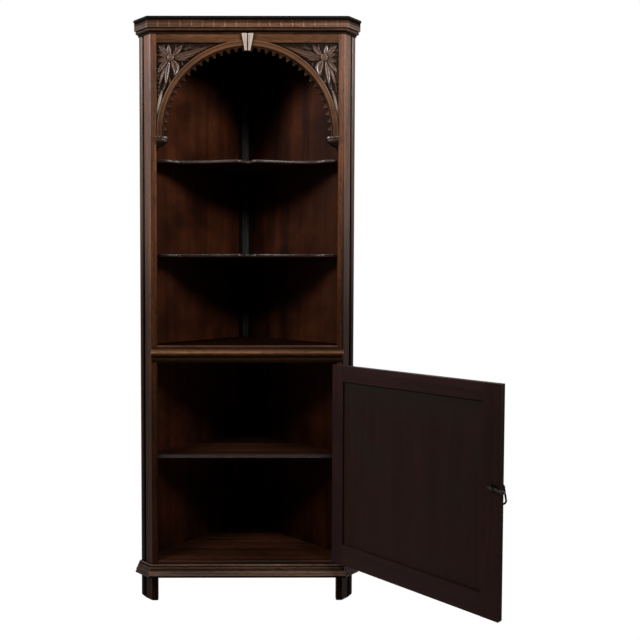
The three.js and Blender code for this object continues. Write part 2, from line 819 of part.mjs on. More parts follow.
function makeCatch() {
  const roseHole = spindleRadius + spindleClearance;
  const through = barAlongY(catchX, catchHeight, roseHole, -eyeSetting, 2 * doorThick);
  const rose = barAlongY(catchX, catchHeight, roseRadius, doorThick, doorThick + roseThick);
  add('catch_inner_rose', cut(rose, [through]), iron, true);
  const plate = barAlongY(catchX, catchHeight, plateRadius, -plateThick, 0);
  add('catch_outer_plate', cut(plate, [through]), iron, true);
  const tongueFace = doorThick + tongueSetting;
  const rod = barAlongY(catchX, catchHeight, spindleRadius, eyeHoleRadius + leafThick - eyeSetting, tongueFace);
  const collarBack = -plateThick - collarGap;
  const collar = barAlongY(catchX, catchHeight, collarRadius, collarBack - collarThick, collarBack);
  const eye = new THREE.CylinderGeometry(eyeRadius, eyeRadius, eyeThick, roundSides);
  eye.rotateZ(Math.PI / 2);
  eye.translate(catchX, -eyeSetting, catchHeight);
  const eyeHole = new THREE.CylinderGeometry(eyeHoleRadius, eyeHoleRadius, 2 * eyeThick, roundSides);
  eyeHole.rotateZ(Math.PI / 2);
  eyeHole.translate(catchX, -eyeSetting, catchHeight);
  add('catch_spindle', cut(joined([rod, collar, eye]), [eyeHole]), iron, true);
  const droop = THREE.MathUtils.degToRad(droopDegrees);
  const lever = [
    [-tongueReach, -tongueTipHalf], [-tongueReach, tongueTipHalf],
    [-tongueHalf, tongueHalf], [tongueHalf, tongueHalf],
    [tongueTail, tongueTipHalf], [tongueTail, -tongueTipHalf],
    [tongueHalf, -tongueHalf], [-tongueHalf, -tongueHalf],
  ].map(([u, v]) => [
    catchX + u * Math.cos(droop) - v * Math.sin(droop),
    catchHeight + u * Math.sin(droop) + v * Math.cos(droop),
  ]);
  const bar = standing(lever, tongueFace, tongueFace + tongueThick);
  const rivetHead = tongueFace + tongueThick + rivetHeight;
  const rivet = barAlongY(catchX, catchHeight, rivetRadius, tongueFace + tongueThick / 2, rivetHead);
  add('catch_tongue', joined([bar, rivet]), iron, true);
}

// Drop handle: one closed loop of wire, narrow at the eye and full at the foot.
function dropPath() {
  const spread = dropLength - dropFootRadius + dropTopRadius;
  const lean = Math.asin((dropFootRadius - dropTopRadius) / spread);
  const points = [];
  const topSteps = 10;
  const footSteps = 16;
  for (let i = 0; i <= topSteps; i += 1) {
    const a = lean * -1 + ((Math.PI + 2 * lean) * i) / topSteps;
    points.push([dropTopRadius * Math.cos(a), dropTopRadius * Math.sin(a) - dropTopRadius]);
  }
  for (let i = 0; i <= footSteps; i += 1) {
    const a = Math.PI + lean + ((Math.PI - 2 * lean) * i) / footSteps;
    const centre = -dropTopRadius - spread;
    points.push([dropFootRadius * Math.cos(a), dropFootRadius * Math.sin(a) + centre]);
  }
  return points;
}

function makeDrop() {
  const path = dropPath();
  const count = path.length;
  const positions = [];
  const index = [];
  for (let i = 0; i < count; i += 1) {
    const before = path[(i + count - 1) % count];
    const after = path[(i + 1) % count];
    const along = new THREE.Vector2(after[0] - before[0], after[1] - before[1]).normalize();
    for (let j = 0; j < wireSides; j += 1) {
      const a = (2 * Math.PI * j) / wireSides;
      const out = wireRadius * Math.cos(a);
      positions.push(
        catchX + path[i][0] + along.y * out,
        wireRadius * Math.sin(a) - eyeSetting,
        catchHeight + path[i][1] - along.x * out,
      );
      const here = i * wireSides;
      const next = ((i + 1) % count) * wireSides;
      const k = (j + 1) % wireSides;
      index.push(here + j, next + j, here + k);
      index.push(here + k, next + j, next + k);
    }
  }
  add('drop_handle', indexed(positions, index), iron, true);
}

makeStiles();
makeBack();
makeMouldings();
makeArch();
makeArchTrim();
makeShelves();
makeRails();
makeDoor();
makeHinge('upper_hinge', doorHead - hingeTopInset - hingeHeight);
makeHinge('lower_hinge', doorFoot + hingeFootInset);
makeCatch();
makeDrop();

export default group;
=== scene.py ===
# A corner cupboard in dark stained oak: canted corners, three open shelves under a carved
# arch, and a framed door standing open below. Metres, +Z up, its front towards -Y.
import math

import bpy
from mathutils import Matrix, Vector


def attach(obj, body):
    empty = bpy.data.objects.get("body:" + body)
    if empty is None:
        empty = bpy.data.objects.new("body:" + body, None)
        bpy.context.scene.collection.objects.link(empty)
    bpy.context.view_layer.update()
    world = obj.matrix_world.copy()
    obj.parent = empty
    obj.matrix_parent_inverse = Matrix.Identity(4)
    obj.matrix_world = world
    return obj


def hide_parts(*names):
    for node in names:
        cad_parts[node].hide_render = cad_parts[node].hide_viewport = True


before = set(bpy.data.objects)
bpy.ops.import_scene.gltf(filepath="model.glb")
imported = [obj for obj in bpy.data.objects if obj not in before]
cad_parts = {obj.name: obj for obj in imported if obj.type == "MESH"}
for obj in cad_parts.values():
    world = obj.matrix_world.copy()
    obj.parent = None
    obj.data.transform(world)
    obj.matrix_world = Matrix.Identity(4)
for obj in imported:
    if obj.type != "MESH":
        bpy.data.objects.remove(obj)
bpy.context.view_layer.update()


# Corner stiles. Each is one length of oak with a narrow front edge, a canted face with a quirk
# and bead run down it by a moulding plane, and a square foot. The corners are rubbed soft. The
# quirk is painted near black as shade and a highlight is painted along the arris, and each stile
# is painted lighter high up and darker towards the foot, as the lamps light it.
UP = Vector((0, 0, 1))
ACROSS = Vector((1, 0, 0))
WALL_SHIFT = 358
FRONT = -WALL_SHIFT / 1000
BODY_RUN = (0, 1.8)
TOUCH = 0.0005
STILE_EASE = 0.0009
ARRIS = 0.297
ARRIS_ROUND = 0.0026
FOOT_TOE = 0.326
TOE_ROUND = 0.006
CANT_RUN = (-0.065, 0.021)
# Painted light across the cant: a highlight at the arris, the quirk painted near black as shade.
CANT_PAINTED_LIGHT = (
    (0, 1.2), (0.025, 0.5), (0.035, 0.5), (0.05, 1.6), (0.12, 1.45), (0.17, 1.2), (0.3, 1.1),
    (0.38, 0.95), (0.52, 0.75), (0.535, 0.05), (0.65, 0.05), (0.67, 0.5), (0.77, 0.55),
    (0.82, 0.3), (0.9, 0.15), (1, 0.15),
)
CANT_SHINE = (
    (0, 0.35), (0.035, 0.35), (0.05, 1), (0.52, 0.75), (0.535, 0), (0.65, 0), (0.67, 1), (1, 0.8),
)
# Painted light by height: lighter high up near the lamps, darker down to the foot.
STILE_PAINTED_LIGHT = (
    (0, 0.34), (0.044, 0.36), (0.055, 0.5), (0.35, 0.5), (0.5, 0.62), (0.6, 0.95), (0.69, 1.2),
    (0.8, 1.15), (0.84, 1.2), (0.92, 1.35), (1, 1.3),
)
FRONT_DEEP = (48, 27, 16)
FRONT_PALE = (120, 73, 45)
FRONT_ROUGH = 0.4
FRONT_SHEEN = 0.36
FIGURE_SCALE = 34
BROAD_SCALE = 12
RING_SCALE = 130
PORE_SCALE = 900
RAY_SCALE = 210
GRAIN_STRETCH = (1, 1, 0.05)
RAY_STRETCH = (1, 0.35, 0.3)
GRAIN_DARK = 0.34
GRAIN_LIGHT = 0.66
RING_TONES = ((0.3, 0.72), (0.7, 1.18))
RING_SHARE = 0.8
PATCHES = (5, 0.74, 1.16)
BROAD_PATCHES = (9, 0.4, 1.6)
PATCH_SHARE = 0.75
RAY_SHARE = 0.22
PORE_SHARE = 0.75
PORE_SHADE = 0.45
PORE_DEPTH = 0.9
RELIEF_SHARE = 0.45
RELIEF_DEPTH = 0.0004
ROUGH_LESS = 0.07
ROUGH_MORE = 0.12
NOOK_REACH = 0.012
EDGE_REACH = 0.0035
WORN_GAIN = 1.5
DOUBLED = 0.00001
FLAT_TURN = 0.5
SHARP_TURN = 38
SMOOTH_TURN = 42


def place(x, y, z):
    """A point given in millimetres from the front face, in the frame's metres."""
    return Vector((x / 1000, (y - WALL_SHIFT) / 1000, z / 1000))


def stain(red, green, blue):
    """A colour as it is seen, turned into the light that it gives back."""
    lit = []
    for part in (red, green, blue):
        share = part / 255
        lit.append(share / 12.92 if share < 0.04045 else ((share + 0.055) / 1.055) ** 2.4)
    return (*lit, 1)


def grey(level):
    return (level, level, level, 1)


class Bench:
    """A finish's nodes, put down one after another."""

    def __init__(self, owner):
        self.owner = owner
        self.owner.use_nodes = True
        self.tree = owner.node_tree
        self.tree.nodes.clear()

    def put(self, kind, entries=(), **settings):
        """Puts down a node, its entries set to values or joined to other nodes' outputs."""
        node = self.tree.nodes.new("ShaderNode" + kind)
        for key, value in settings.items():
            setattr(node, key, value)
        for key, value in dict(entries).items():
            if isinstance(value, bpy.types.NodeSocket):
                self.tree.links.new(value, node.inputs[key])
            else:
                node.inputs[key].default_value = value
        return node

    def work(self, operation, *values):
        """One step of reckoning with one or two values."""
        return self.put("Math", dict(enumerate(values)), operation=operation).outputs[0]

    def noise(self, spot, scale, detail, roughness=0.5, distortion=0.0):
        settings = {"Scale": scale, "Detail": detail, "Roughness": roughness}
        cloud = self.put("TexNoise", {"Vector": spot, "Distortion": distortion, **settings})
        return cloud.outputs[0]

    def span(self, measure, low, high):
        """A measure stretched so that it runs from 0 to 1 between two places."""
        entries = {"Value": measure, "From Min": low, "From Max": high}
        return self.put("MapRange", entries).outputs[0]

    def ramp(self, measure, stops):
        """Colours laid out along a measure."""
        ramp = self.put("ValToRGB", {0: measure})
        points = ramp.color_ramp.elements
        points[0].position, points[0].color = stops[0]
        points[-1].position, points[-1].color = stops[-1]
        for spot, colour in stops[1:-1]:
            points.new(spot).color = colour
        return ramp.outputs[0]

    def tones(self, measure, table):
        """Greys laid out along a measure."""
        return self.ramp(measure, [(share, grey(level)) for share, level in table])

    def blend(self, kind, first, second, share=1.0):
        """Mixes two colours, by a value or by a measure."""
        entries = {0: share, 6: first, 7: second}
        return self.put("Mix", entries, data_type="RGBA", blend_type=kind).outputs[2]

    def close(self, surface, kind="OutputMaterial"):
        self.put(kind, {"Surface": surface})
        return self.owner


def oak(name, deep, pale, along, *layers, rough, sheen, seed, figure=1.0, broad=False):
    """Oak whose grain runs along a direction, with rings, open pores, rays and old patches.

    Each layer works further on the colour: it takes the bench and the colour so far, and gives
    the new colour. Figure is how strongly the grain shows, and broad makes it wide.
    """
    bench = Bench(bpy.data.materials.new(name))
    spot = bench.put("TexCoord").outputs["Object"]
    bench.axes = bench.put("SeparateXYZ", {"Vector": spot}).outputs
    bench.turned = bench.put("Mapping", {
        "Vector": spot,
        "Location": (seed, seed * 0.7, seed * 0.3),
        "Rotation": along.rotation_difference(UP).to_euler(),
    }).outputs[0]
    drawn = bench.put("Mapping", {"Vector": bench.turned, "Scale": GRAIN_STRETCH}).outputs[0]
    short = bench.put("Mapping", {"Vector": bench.turned, "Scale": RAY_STRETCH}).outputs[0]
    figure_scale = BROAD_SCALE if broad else FIGURE_SCALE
    patch_scale, patch_low, patch_high = BROAD_PATCHES if broad else PATCHES
    bench.grain = bench.noise(drawn, figure_scale, detail=6, roughness=0.62, distortion=0.5)
    rings = bench.noise(drawn, RING_SCALE, detail=3, roughness=0.6, distortion=0.2)
    pores = bench.noise(drawn, PORE_SCALE, detail=1)
    patch = bench.noise(bench.turned, patch_scale, detail=3, roughness=0.55)
    rays = bench.noise(short, RAY_SCALE, detail=1, roughness=0.4)

    dark, light = stain(*deep), stain(*pale)
    body = bench.ramp(bench.grain, ((GRAIN_DARK, dark), (GRAIN_LIGHT, light)))
    ringed = bench.blend("MULTIPLY", body, bench.tones(rings, RING_TONES), RING_SHARE * figure)
    old = bench.tones(patch, ((0.32, patch_low), (0.7, patch_high)))
    aged = bench.blend("MULTIPLY", ringed, old, PATCH_SHARE)
    fleck = bench.tones(rays, ((0.63, 0), (0.74, RAY_SHARE * figure)))
    flecked = bench.blend("MIX", aged, light, fleck)
    pit = bench.tones(pores, ((0.36, PORE_SHARE * figure), (0.47, 0)))
    colour = bench.blend("MIX", flecked, stain(*(part * PORE_SHADE for part in deep)), pit)

    bench.pale = pale
    bench.gloss = sheen
    for layer in layers:
        colour = layer(bench, colour)

    rub = {"Value": patch, "To Min": rough - ROUGH_LESS, "To Max": rough + ROUGH_MORE}
    height = bench.blend("SUBTRACT", rings, pit, PORE_DEPTH)
    relief = {"Strength": RELIEF_SHARE * figure, "Distance": RELIEF_DEPTH, "Height": height}
    return bench.close(bench.put("BsdfPrincipled", {
        "Base Color": colour,
        "Roughness": bench.put("MapRange", rub).outputs[0],
        "Specular IOR Level": bench.gloss,
        "Normal": bench.put("Bump", relief).outputs[0],
    }).outputs[0])


def dirt_and_shade(depth):
    """Dirt and painted shade, darker where the hollows close in."""
    def layer(bench, colour):
        nook = bench.put("AmbientOcclusion", {"Distance": NOOK_REACH}, samples=8)
        dirt_and_shade_tone = bench.tones(nook.outputs["AO"], ((0.4, 1 - depth), (0.82, 1)))
        return bench.blend("MULTIPLY", colour, dirt_and_shade_tone)
    return layer


def wear(bright):
    """Edges rubbed pale."""
    def layer(bench, colour):
        edge = bench.put("AmbientOcclusion", {"Distance": EDGE_REACH}, samples=8, inside=True)
        rubbed = bench.tones(edge.outputs["AO"], ((0.42, bright), (0.62, 0)))
        worn = stain(*(min(255, part * WORN_GAIN) for part in bench.pale))
        return bench.blend("MIX", colour, worn, rubbed)
    return layer


def painted_light_by_height(run, table):
    """Painted light and shade between two heights. The darker the tone, the duller the polish."""
    def layer(bench, colour):
        tone = bench.tones(bench.span(bench.axes["Z"], *run), table)
        bench.gloss = bench.work("MULTIPLY", bench.work("POWER", tone, 2), bench.gloss)
        return bench.blend("MULTIPLY", colour, tone)
    return layer


def painted_light_across_cant(table, shine=()):
    """Painted highlight and shade, and a polish where it changes too, laid out across the cant."""
    def layer(bench, colour):
        wide = bench.work("ABSOLUTE", bench.axes["X"])
        across = bench.span(bench.work("ADD", wide, bench.axes["Y"]), *CANT_RUN)
        if shine:
            bench.gloss = bench.work("MULTIPLY", bench.gloss, bench.tones(across, shine))
        return bench.blend("MULTIPLY", colour, bench.tones(across, table))
    return layer


def pick(piece):
    """Leaves this piece alone selected."""
    for other in list(bpy.context.selected_objects):
        other.select_set(False)
    piece.select_set(True)
    bpy.context.view_layer.objects.active = piece


def copy_of(node, prefix="oak_"):
    """A loose copy of a node's shape, its doubled corners merged and its flat faces whole."""
    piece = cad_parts[node].copy()
    piece.data = piece.data.copy()
    piece.name = prefix + node
    piece.data.name = prefix + node
    for key in list(piece.keys()):
        del piece[key]
    piece.parent = None
    bpy.context.scene.collection.objects.link(piece)
    pick(piece)
    bpy.ops.mesh.customdata_custom_splitnormals_clear()
    bpy.ops.object.mode_set(mode="EDIT")
    bpy.ops.mesh.select_mode(type="EDGE")
    bpy.ops.mesh.select_all(action="SELECT")
    bpy.ops.mesh.remove_doubles(threshold=DOUBLED)
    bpy.ops.mesh.dissolve_limited(angle_limit=math.radians(FLAT_TURN))
    bpy.ops.mesh.select_all(action="DESELECT")
    bpy.ops.object.mode_set(mode="OBJECT")
    return piece


def soften(piece, angle=SMOOTH_TURN):
    """Smooth shading that leaves flat faces flat and real corners sharp."""
    pick(piece)
    bpy.ops.object.shade_smooth_by_angle(angle=math.radians(angle))
    bpy.ops.object.modifier_add(type="WEIGHTED_NORMAL")
    piece.modifiers[-1].keep_sharp = True
    bpy.ops.object.modifier_apply(modifier=piece.modifiers[-1].name)


def round_over(piece, wanted, radius, segments):
    """Rounds over the edges whose two ends are both wanted."""
    pick(piece)
    for edge in piece.data.edges:
        edge.select = all(wanted(piece.data.vertices[i].co) for i in edge.vertices)
    bpy.ops.object.mode_set(mode="EDIT")
    bpy.ops.mesh.bevel(offset=radius, segments=segments, affect="EDGES")
    bpy.ops.mesh.select_all(action="DESELECT")
    bpy.ops.object.mode_set(mode="OBJECT")


def eased(piece, ease):
    """The piece with its sharp corners rubbed round."""
    pick(piece)
    bpy.ops.object.mode_set(mode="EDIT")
    bpy.ops.mesh.edges_select_sharp(sharpness=math.radians(SHARP_TURN))
    bpy.ops.mesh.bevel(offset=ease, segments=2, affect="EDGES", clamp_overlap=True)
    bpy.ops.object.mode_set(mode="OBJECT")
    soften(piece)
    return piece


def fit(piece, body, finish, slot, *stands_for):
    """Gives a piece its finish and fixes it to its body."""
    piece.data.materials.clear()
    piece.data.materials.append(finish)
    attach(piece, body)
    if stands_for:
        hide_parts(*stands_for)


def on_arris(at):
    return abs(abs(at.x) - ARRIS) < TOUCH and at.y < FRONT + TOUCH


def on_toe(at):
    return abs(at.x) > FOOT_TOE and at.z < TOUCH


for side, seed in (("left", 1.7), ("right", 4.1)):
    stile_oak = oak(
        f"stile_{side}_oak", FRONT_DEEP, FRONT_PALE, UP,
        dirt_and_shade(0.75), wear(0.4), painted_light_by_height(BODY_RUN, STILE_PAINTED_LIGHT), painted_light_across_cant(CANT_PAINTED_LIGHT, CANT_SHINE),
        rough=FRONT_ROUGH, sheen=FRONT_SHEEN, seed=seed,
    )
    stile = copy_of(f"stile_{side}")
    round_over(stile, on_arris, ARRIS_ROUND, segments=4)
    round_over(stile, on_toe, TOE_ROUND, segments=3)
    fit(eased(stile, STILE_EASE), "carcass", stile_oak, "oak_front", f"stile_{side}")


# Rear post and back boards. The post is planed flat across the corner and the two wide boards
# are let in behind the stiles; only their inner faces were stained, and the wall side is bare.
# Both are painted in light and shade: the boards lighter and darker by height as the lamps reach
# each bay, and the post with a lit strip down its middle and darker sides, darker low down.
BOARD_DEEP = (38, 18, 10)
BOARD_PALE = (85, 42, 21)
# Painted light and shade by height on each back board.
BOARD_PAINTED_LIGHT = {
    "back_board_left": (
        (0, 0.75), (0.19, 0.85), (0.31, 1.2), (0.41, 1.2), (0.47, 1), (0.75, 0.95), (1, 0.85),
    ),
    "back_board_right": (
        (0, 0.42), (0.18, 0.5), (0.34, 0.75), (0.41, 0.8), (0.47, 1), (0.75, 1.1), (1, 1.1),
    ),
}
BARE_DEEP = (84, 62, 44)
BARE_PALE = (132, 102, 74)
WALL_FACING = 0.3
POST_RUN = (-0.0236, 0.0236)
# Painted light on the post: a lit strip between shaded sides, and painted shade low down.
POST_PAINTED_STRIP = ((0, 0.12), (0.24, 0.15), (0.3, 1), (0.7, 1), (0.76, 0.15), (1, 0.12))
POST_PAINTED_LIGHT_UP = ((0, 0.2), (0.43, 0.25), (0.46, 0.8), (0.7, 1), (1, 1.2))


def bare_behind(bench, colour):
    """The side towards the wall, left without stain."""
    dark, light = stain(*BARE_DEEP), stain(*BARE_PALE)
    bare = bench.ramp(bench.grain, ((GRAIN_DARK, dark), (GRAIN_LIGHT, light)))
    facing = bench.put("SeparateXYZ", {"Vector": bench.put("NewGeometry").outputs["Normal"]})
    behind = bench.work("GREATER_THAN", facing.outputs["Y"], WALL_FACING)
    return bench.blend("MIX", colour, bare, behind)


def painted_light_by_side(run, table):
    """Painted light and shade laid out from left to right."""
    def layer(bench, colour):
        shaded = bench.tones(bench.span(bench.axes["X"], *run), table)
        return bench.blend("MULTIPLY", colour, shaded)
    return layer


def dress(node, finish):
    """A node whose own shape is right gets its finish."""
    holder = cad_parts[node]
    for slot in holder.material_slots:
        slot.material = finish
    if not holder.material_slots:
        holder.data.materials.append(finish)


for board, seed in (("back_board_left", 7.3), ("back_board_right", 9.9)):
    dress(board, oak(
        f"{board}_oak", BOARD_DEEP, BOARD_PALE, UP,
        bare_behind, painted_light_by_height(BODY_RUN, BOARD_PAINTED_LIGHT[board]),
        rough=0.5, sheen=0.06, seed=seed, figure=0.4, broad=True,
    ))
dress("rear_post", oak(
    "post_oak", (60, 56, 55), (96, 91, 89), UP,
    bare_behind, painted_light_by_height(BODY_RUN, POST_PAINTED_LIGHT_UP), painted_light_by_side(POST_RUN, POST_PAINTED_STRIP),
    rough=0.5, sheen=0.06, seed=12.6, figure=0.6,
))


# Floor, shelves and waist board. Oak boards cut to fill the corner, their grain running with
# the front. The two open shelves have a serpentine front and the lower one a straight front,
# and all three are rounded over there and rubbed by use. The upper part of each front edge is
# also painted paler and greyer as a highlight, stronger on some shelves than others as the
# lamps reach them, and the fronts of the floor and waist boards are painted in light and shade.
SHELF_DEEP = (36, 19, 11)
SHELF_PALE = (78, 44, 28)
BOARD_EASE = 0.0014
NOSE_ROUND = 0.0036
NOSE_FACING = -0.2
NOSE_FOOT = 0.0035
NOSE_TURN = 50
FRONT_REACH = 0.2918
SHELF_REAR = -0.309
LEVEL = 0.0002
# Paler nose colours for each shelf: wear, and a painted highlight as strong as the lamps make it
# there.
NOSE_WEAR_AND_HIGHLIGHT = {
    "lower_shelf": ((46, 32, 28), (76, 57, 51)),
    "middle_shelf": ((38, 27, 24), (62, 47, 43)),
    "upper_shelf": ((50, 37, 33), (82, 65, 59)),
}
WAIST_EDGE = (0.79, 0.8012)
# Painted light by height: the waist board's front edge lit bright, its top painted dark as shade.
WAIST_PAINTED_LIGHT = (
    (0, 1.5), (0.4, 1.4), (0.55, 2.2), (0.8, 3), (0.97, 4.8), (0.978, 0.3), (1, 0.28),
)
FLOOR_EDGE = (0.112, 0.1272)
# Painted light by height: a bright band along the top of the floor board's front edge.
FLOOR_PAINTED_LIGHT = ((0, 0.9), (0.7, 0.9), (0.8, 1.7), (0.95, 1.7), (0.975, 1), (1, 1))
waist_oak = oak(
    "waist_oak", (38, 20, 12), (74, 43, 27), ACROSS,
    painted_light_by_height(WAIST_EDGE, WAIST_PAINTED_LIGHT), rough=0.4, sheen=0.05, seed=18.4,
)
floor_oak = oak(
    "floor_oak", (42, 23, 13), (94, 54, 34), ACROSS,
    painted_light_by_height(FLOOR_EDGE, FLOOR_PAINTED_LIGHT), rough=0.46, sheen=0.1, seed=19.7,
)
for board, finish, slot in (
    ("floor_board", floor_oak, "oak_inside"),
    ("waist_board", waist_oak, "oak_front"),
):
    fit(eased(copy_of(board), BOARD_EASE), "carcass", finish, slot, board)

board_oak = oak(
    "board_oak", SHELF_DEEP, SHELF_PALE, ACROSS,
    wear(0.25), rough=0.46, sheen=0.1, seed=15.2,
)
for shelf, rubbed in NOSE_WEAR_AND_HIGHLIGHT.items():
    piece = copy_of(shelf)
    heights = [vertex.co.z for vertex in piece.data.vertices]
    for level in (min(heights), max(heights)):
        round_over(
            piece,
            lambda at: abs(at.z - level) < LEVEL and abs(at.x) < FRONT_REACH and at.y < SHELF_REAR,
            NOSE_ROUND, segments=4,
        )
    soften(piece, NOSE_TURN)
    fit(piece, "carcass", board_oak, "oak_inside", shelf)
    piece.data.materials.append(oak(
        shelf + "_nose_wear_and_highlight", *rubbed, ACROSS, rough=0.24, sheen=0.6, seed=16.8,
    ))
    # The front faces above the foot take the paler finish, wear and painted highlight in one; the
    # lowest few millimetres are left without it.
    for face in piece.data.polygons:
        if face.normal.y < NOSE_FACING and face.center.z > min(heights) + NOSE_FOOT:
            face.material_index = 1


# Waist and plinth. A rail is tenoned between the stiles at each level, with a run moulding
# planted on its face; the plinth's lengths are mitred round the cants.
RAIL_EASE = 0.0007
TORUS_RUN = (0.752, 0.79)
# Painted light and shade down the torus: bright where it faces the lamps, dark in the cove and
# lip.
TORUS_PAINTED_LIGHT = (
    (0, 0.35), (0.04, 0.25), (0.13, 0.25), (0.18, 0.2), (0.28, 0.1), (0.37, 0.3), (0.45, 1),
    (0.53, 2), (0.61, 1.9), (0.69, 2), (0.77, 2.7), (0.84, 1.2), (0.92, 0.7), (1, 0.65),
)
PLINTH_RUN = (0.08, 0.115)
# Painted light and shade down the plinth's profile: lit lines and shaded hollows.
PLINTH_PAINTED_LIGHT = (
    (0, 0.12), (0.13, 0.15), (0.17, 0.8), (0.21, 2.2), (0.25, 3), (0.32, 3.2), (0.345, 0.8),
    (0.37, 0.7), (0.4, 1.8), (0.49, 1.7), (0.52, 0.7), (0.62, 0.45), (0.73, 0.4), (0.76, 1.15),
    (0.81, 1.15), (0.83, 0.3), (0.91, 0.25), (0.95, 1.4), (1, 2),
)
# The same painted light and shade on the plinth's returns.
RETURN_PAINTED_LIGHT = (
    (0, 0.5), (0.09, 1.4), (0.45, 1.3), (0.66, 1.1), (0.69, 0.4), (0.72, 1.6), (0.77, 1.6),
    (0.79, 0.3), (0.9, 0.3), (0.92, 2.2), (1, 1.6),
)
rail_oak = oak(
    "rail_oak", FRONT_DEEP, FRONT_PALE, ACROSS,
    dirt_and_shade(0.7), rough=0.42, sheen=0.15, seed=21.9,
)
torus_oak = oak(
    "torus_oak", (84, 54, 36), (134, 92, 62), ACROSS,
    dirt_and_shade(0.85), wear(0.5), painted_light_by_height(TORUS_RUN, TORUS_PAINTED_LIGHT), rough=0.36, sheen=0.05, seed=24.7,
)
plinth_oak = oak(
    "plinth_oak", (74, 54, 41), (148, 111, 88), ACROSS,
    dirt_and_shade(0.7), painted_light_by_height(PLINTH_RUN, PLINTH_PAINTED_LIGHT), rough=0.4, sheen=0.1, seed=25.2,
)
plinth_side_oak = oak(
    "plinth_side_oak", (56, 40, 32), (108, 80, 67), UP,
    dirt_and_shade(0.6), wear(0.6), painted_light_by_height(PLINTH_RUN, RETURN_PAINTED_LIGHT), rough=0.4, sheen=0.07, seed=25.8,
)
for node, finish in (
    ("waist_rail", rail_oak),
    ("plinth_rail", rail_oak),
    ("waist_moulding", torus_oak),
    ("plinth_moulding_front", plinth_oak),
    ("plinth_moulding_left", plinth_side_oak),
    ("plinth_moulding_right", plinth_side_oak),
):
    fit(eased(copy_of(node), RAIL_EASE), "carcass", finish, "oak_front", node)


# Arched head rail. The board is sawn to the arch, its lower edge cut into small lobes with a
# gouge, and a band with a bead along its outer edge is worked in front of them.
ARCH_HEIGHT = 1455
ARCH_CENTRE = place(0, 0, ARCH_HEIGHT)
ARCH_STEPS = 72
BAND_BED = 0.2
BAND_LEG = 0.012
BAND_FOOT = 0.0001
BAND_SECTION = (
    (260.7, 0), (260.7, 2.3), (261.5, 3.2), (263, 3.4), (270.6, 3.4), (271.8, 3.1), (272.4, 3.7),
    (273.3, 4.5), (274.6, 4.9), (275.9, 4.6), (276.9, 3.8), (277.4, 2.4), (277.4, 0),
)
REACH_RUN = (0.247, 0.285)
BAND_REACH = 0.2765
FIELD_HEAD = 1.727
# Painted by reach: a dark line round the band's outer edge on the field, the lobes dark as shade
# with lit tips, and a highlight along the band's bead.
BAND_EDGE_LINE = ((0.79, 1), (0.8, 0.06), (0.9, 0.06), (1, 1))
TOOTH_PAINTED_LIGHT = ((0, 1.7), (0.06, 1.5), (0.11, 0.62), (0.3, 0.45), (0.34, 0.2), (0.37, 1), (1, 1))
RIM_PAINTED_LIGHT = (
    (0, 0.6), (0.37, 0.7), (0.41, 1.1), (0.46, 1.15), (0.55, 0.9), (0.67, 0.7), (0.72, 1.35),
    (1, 1.35),
)
FRIEZE_RUN = (1.735, 1.7525)
# Painted shade at the top of the frieze, under the cornice.
FRIEZE_PAINTED_SHADE = ((0, 0.92), (0.6, 0.9), (0.8, 0.85), (1, 0.6))
FIELD_DEPTHS = (0.0008, 0.0036)
# Painted shade: the carved ground darker the deeper it lies.
FIELD_PAINTED_SHADE = ((0, 1), (1, 0.16))
BAND_RUN = (1.42, 1.65)
# Painted shade: the band darker towards its feet.
BAND_PAINTED_SHADE = ((0, 0.42), (0.25, 0.5), (0.7, 0.85), (1, 0.78))


def painted_light_by_reach(table):
    """Painted light and shade by reach from the arch's centre, and a dark line round the band."""
    def layer(bench, colour):
        rise = bench.work("ADD", bench.axes["Z"], -ARCH_CENTRE.z)
        lift = bench.work("MAXIMUM", rise, 0.0)
        apart = bench.put("CombineXYZ", {"X": bench.axes["X"], "Z": lift}).outputs[0]
        bench.reach = bench.put("VectorMath", {0: apart}, operation="LENGTH").outputs["Value"]
        near = bench.span(bench.reach, *REACH_RUN)
        dull = bench.blend("MULTIPLY", colour, bench.tones(near, table))
        in_field = bench.work("LESS_THAN", bench.axes["Z"], FIELD_HEAD)
        return bench.blend("MULTIPLY", dull, bench.tones(near, BAND_EDGE_LINE), in_field)
    return layer


def painted_light_by_depth(depths, table, beyond_band=False):
    """Painted light and shade by depth of cut. Beyond the band alone, it follows the reach layer.
    """
    def layer(bench, colour):
        raised, deepest = depths
        sunk = bench.span(bench.axes["Y"], FRONT + raised, FRONT + deepest)
        share = bench.work("GREATER_THAN", bench.reach, BAND_REACH) if beyond_band else 1.0
        return bench.blend("MULTIPLY", colour, bench.tones(sunk, table), share)
    return layer


def section(name, points):
    """A closed outline of one corner a point, laid out from a ring."""
    bpy.ops.mesh.primitive_circle_add(vertices=len(points), radius=0.01)
    piece = bpy.context.object
    piece.name = name
    piece.data.name = name
    for vertex, point in zip(piece.data.vertices, points):
        vertex.co = point
    pick(piece)
    return piece


def spun(piece, centre, axis, turn, steps):
    """The outline swept round an axis into a body."""
    bpy.ops.object.mode_set(mode="EDIT")
    bpy.ops.mesh.select_all(action="SELECT")
    bpy.ops.mesh.spin(steps=steps, angle=turn, center=centre, axis=axis)
    bpy.ops.object.mode_set(mode="OBJECT")


def close_up(piece):
    """Merges doubled corners, fills open ends and turns the faces outwards."""
    pick(piece)
    bpy.ops.object.mode_set(mode="EDIT")
    bpy.ops.mesh.select_mode(type="EDGE")
    bpy.ops.mesh.select_all(action="SELECT")
    bpy.ops.mesh.remove_doubles(threshold=DOUBLED)
    bpy.ops.mesh.select_all(action="DESELECT")
    bpy.ops.mesh.select_non_manifold()
    bpy.ops.mesh.edge_face_add()
    bpy.ops.mesh.select_all(action="SELECT")
    bpy.ops.mesh.normals_make_consistent(inside=False)
    bpy.ops.mesh.select_all(action="DESELECT")
    bpy.ops.object.mode_set(mode="OBJECT")


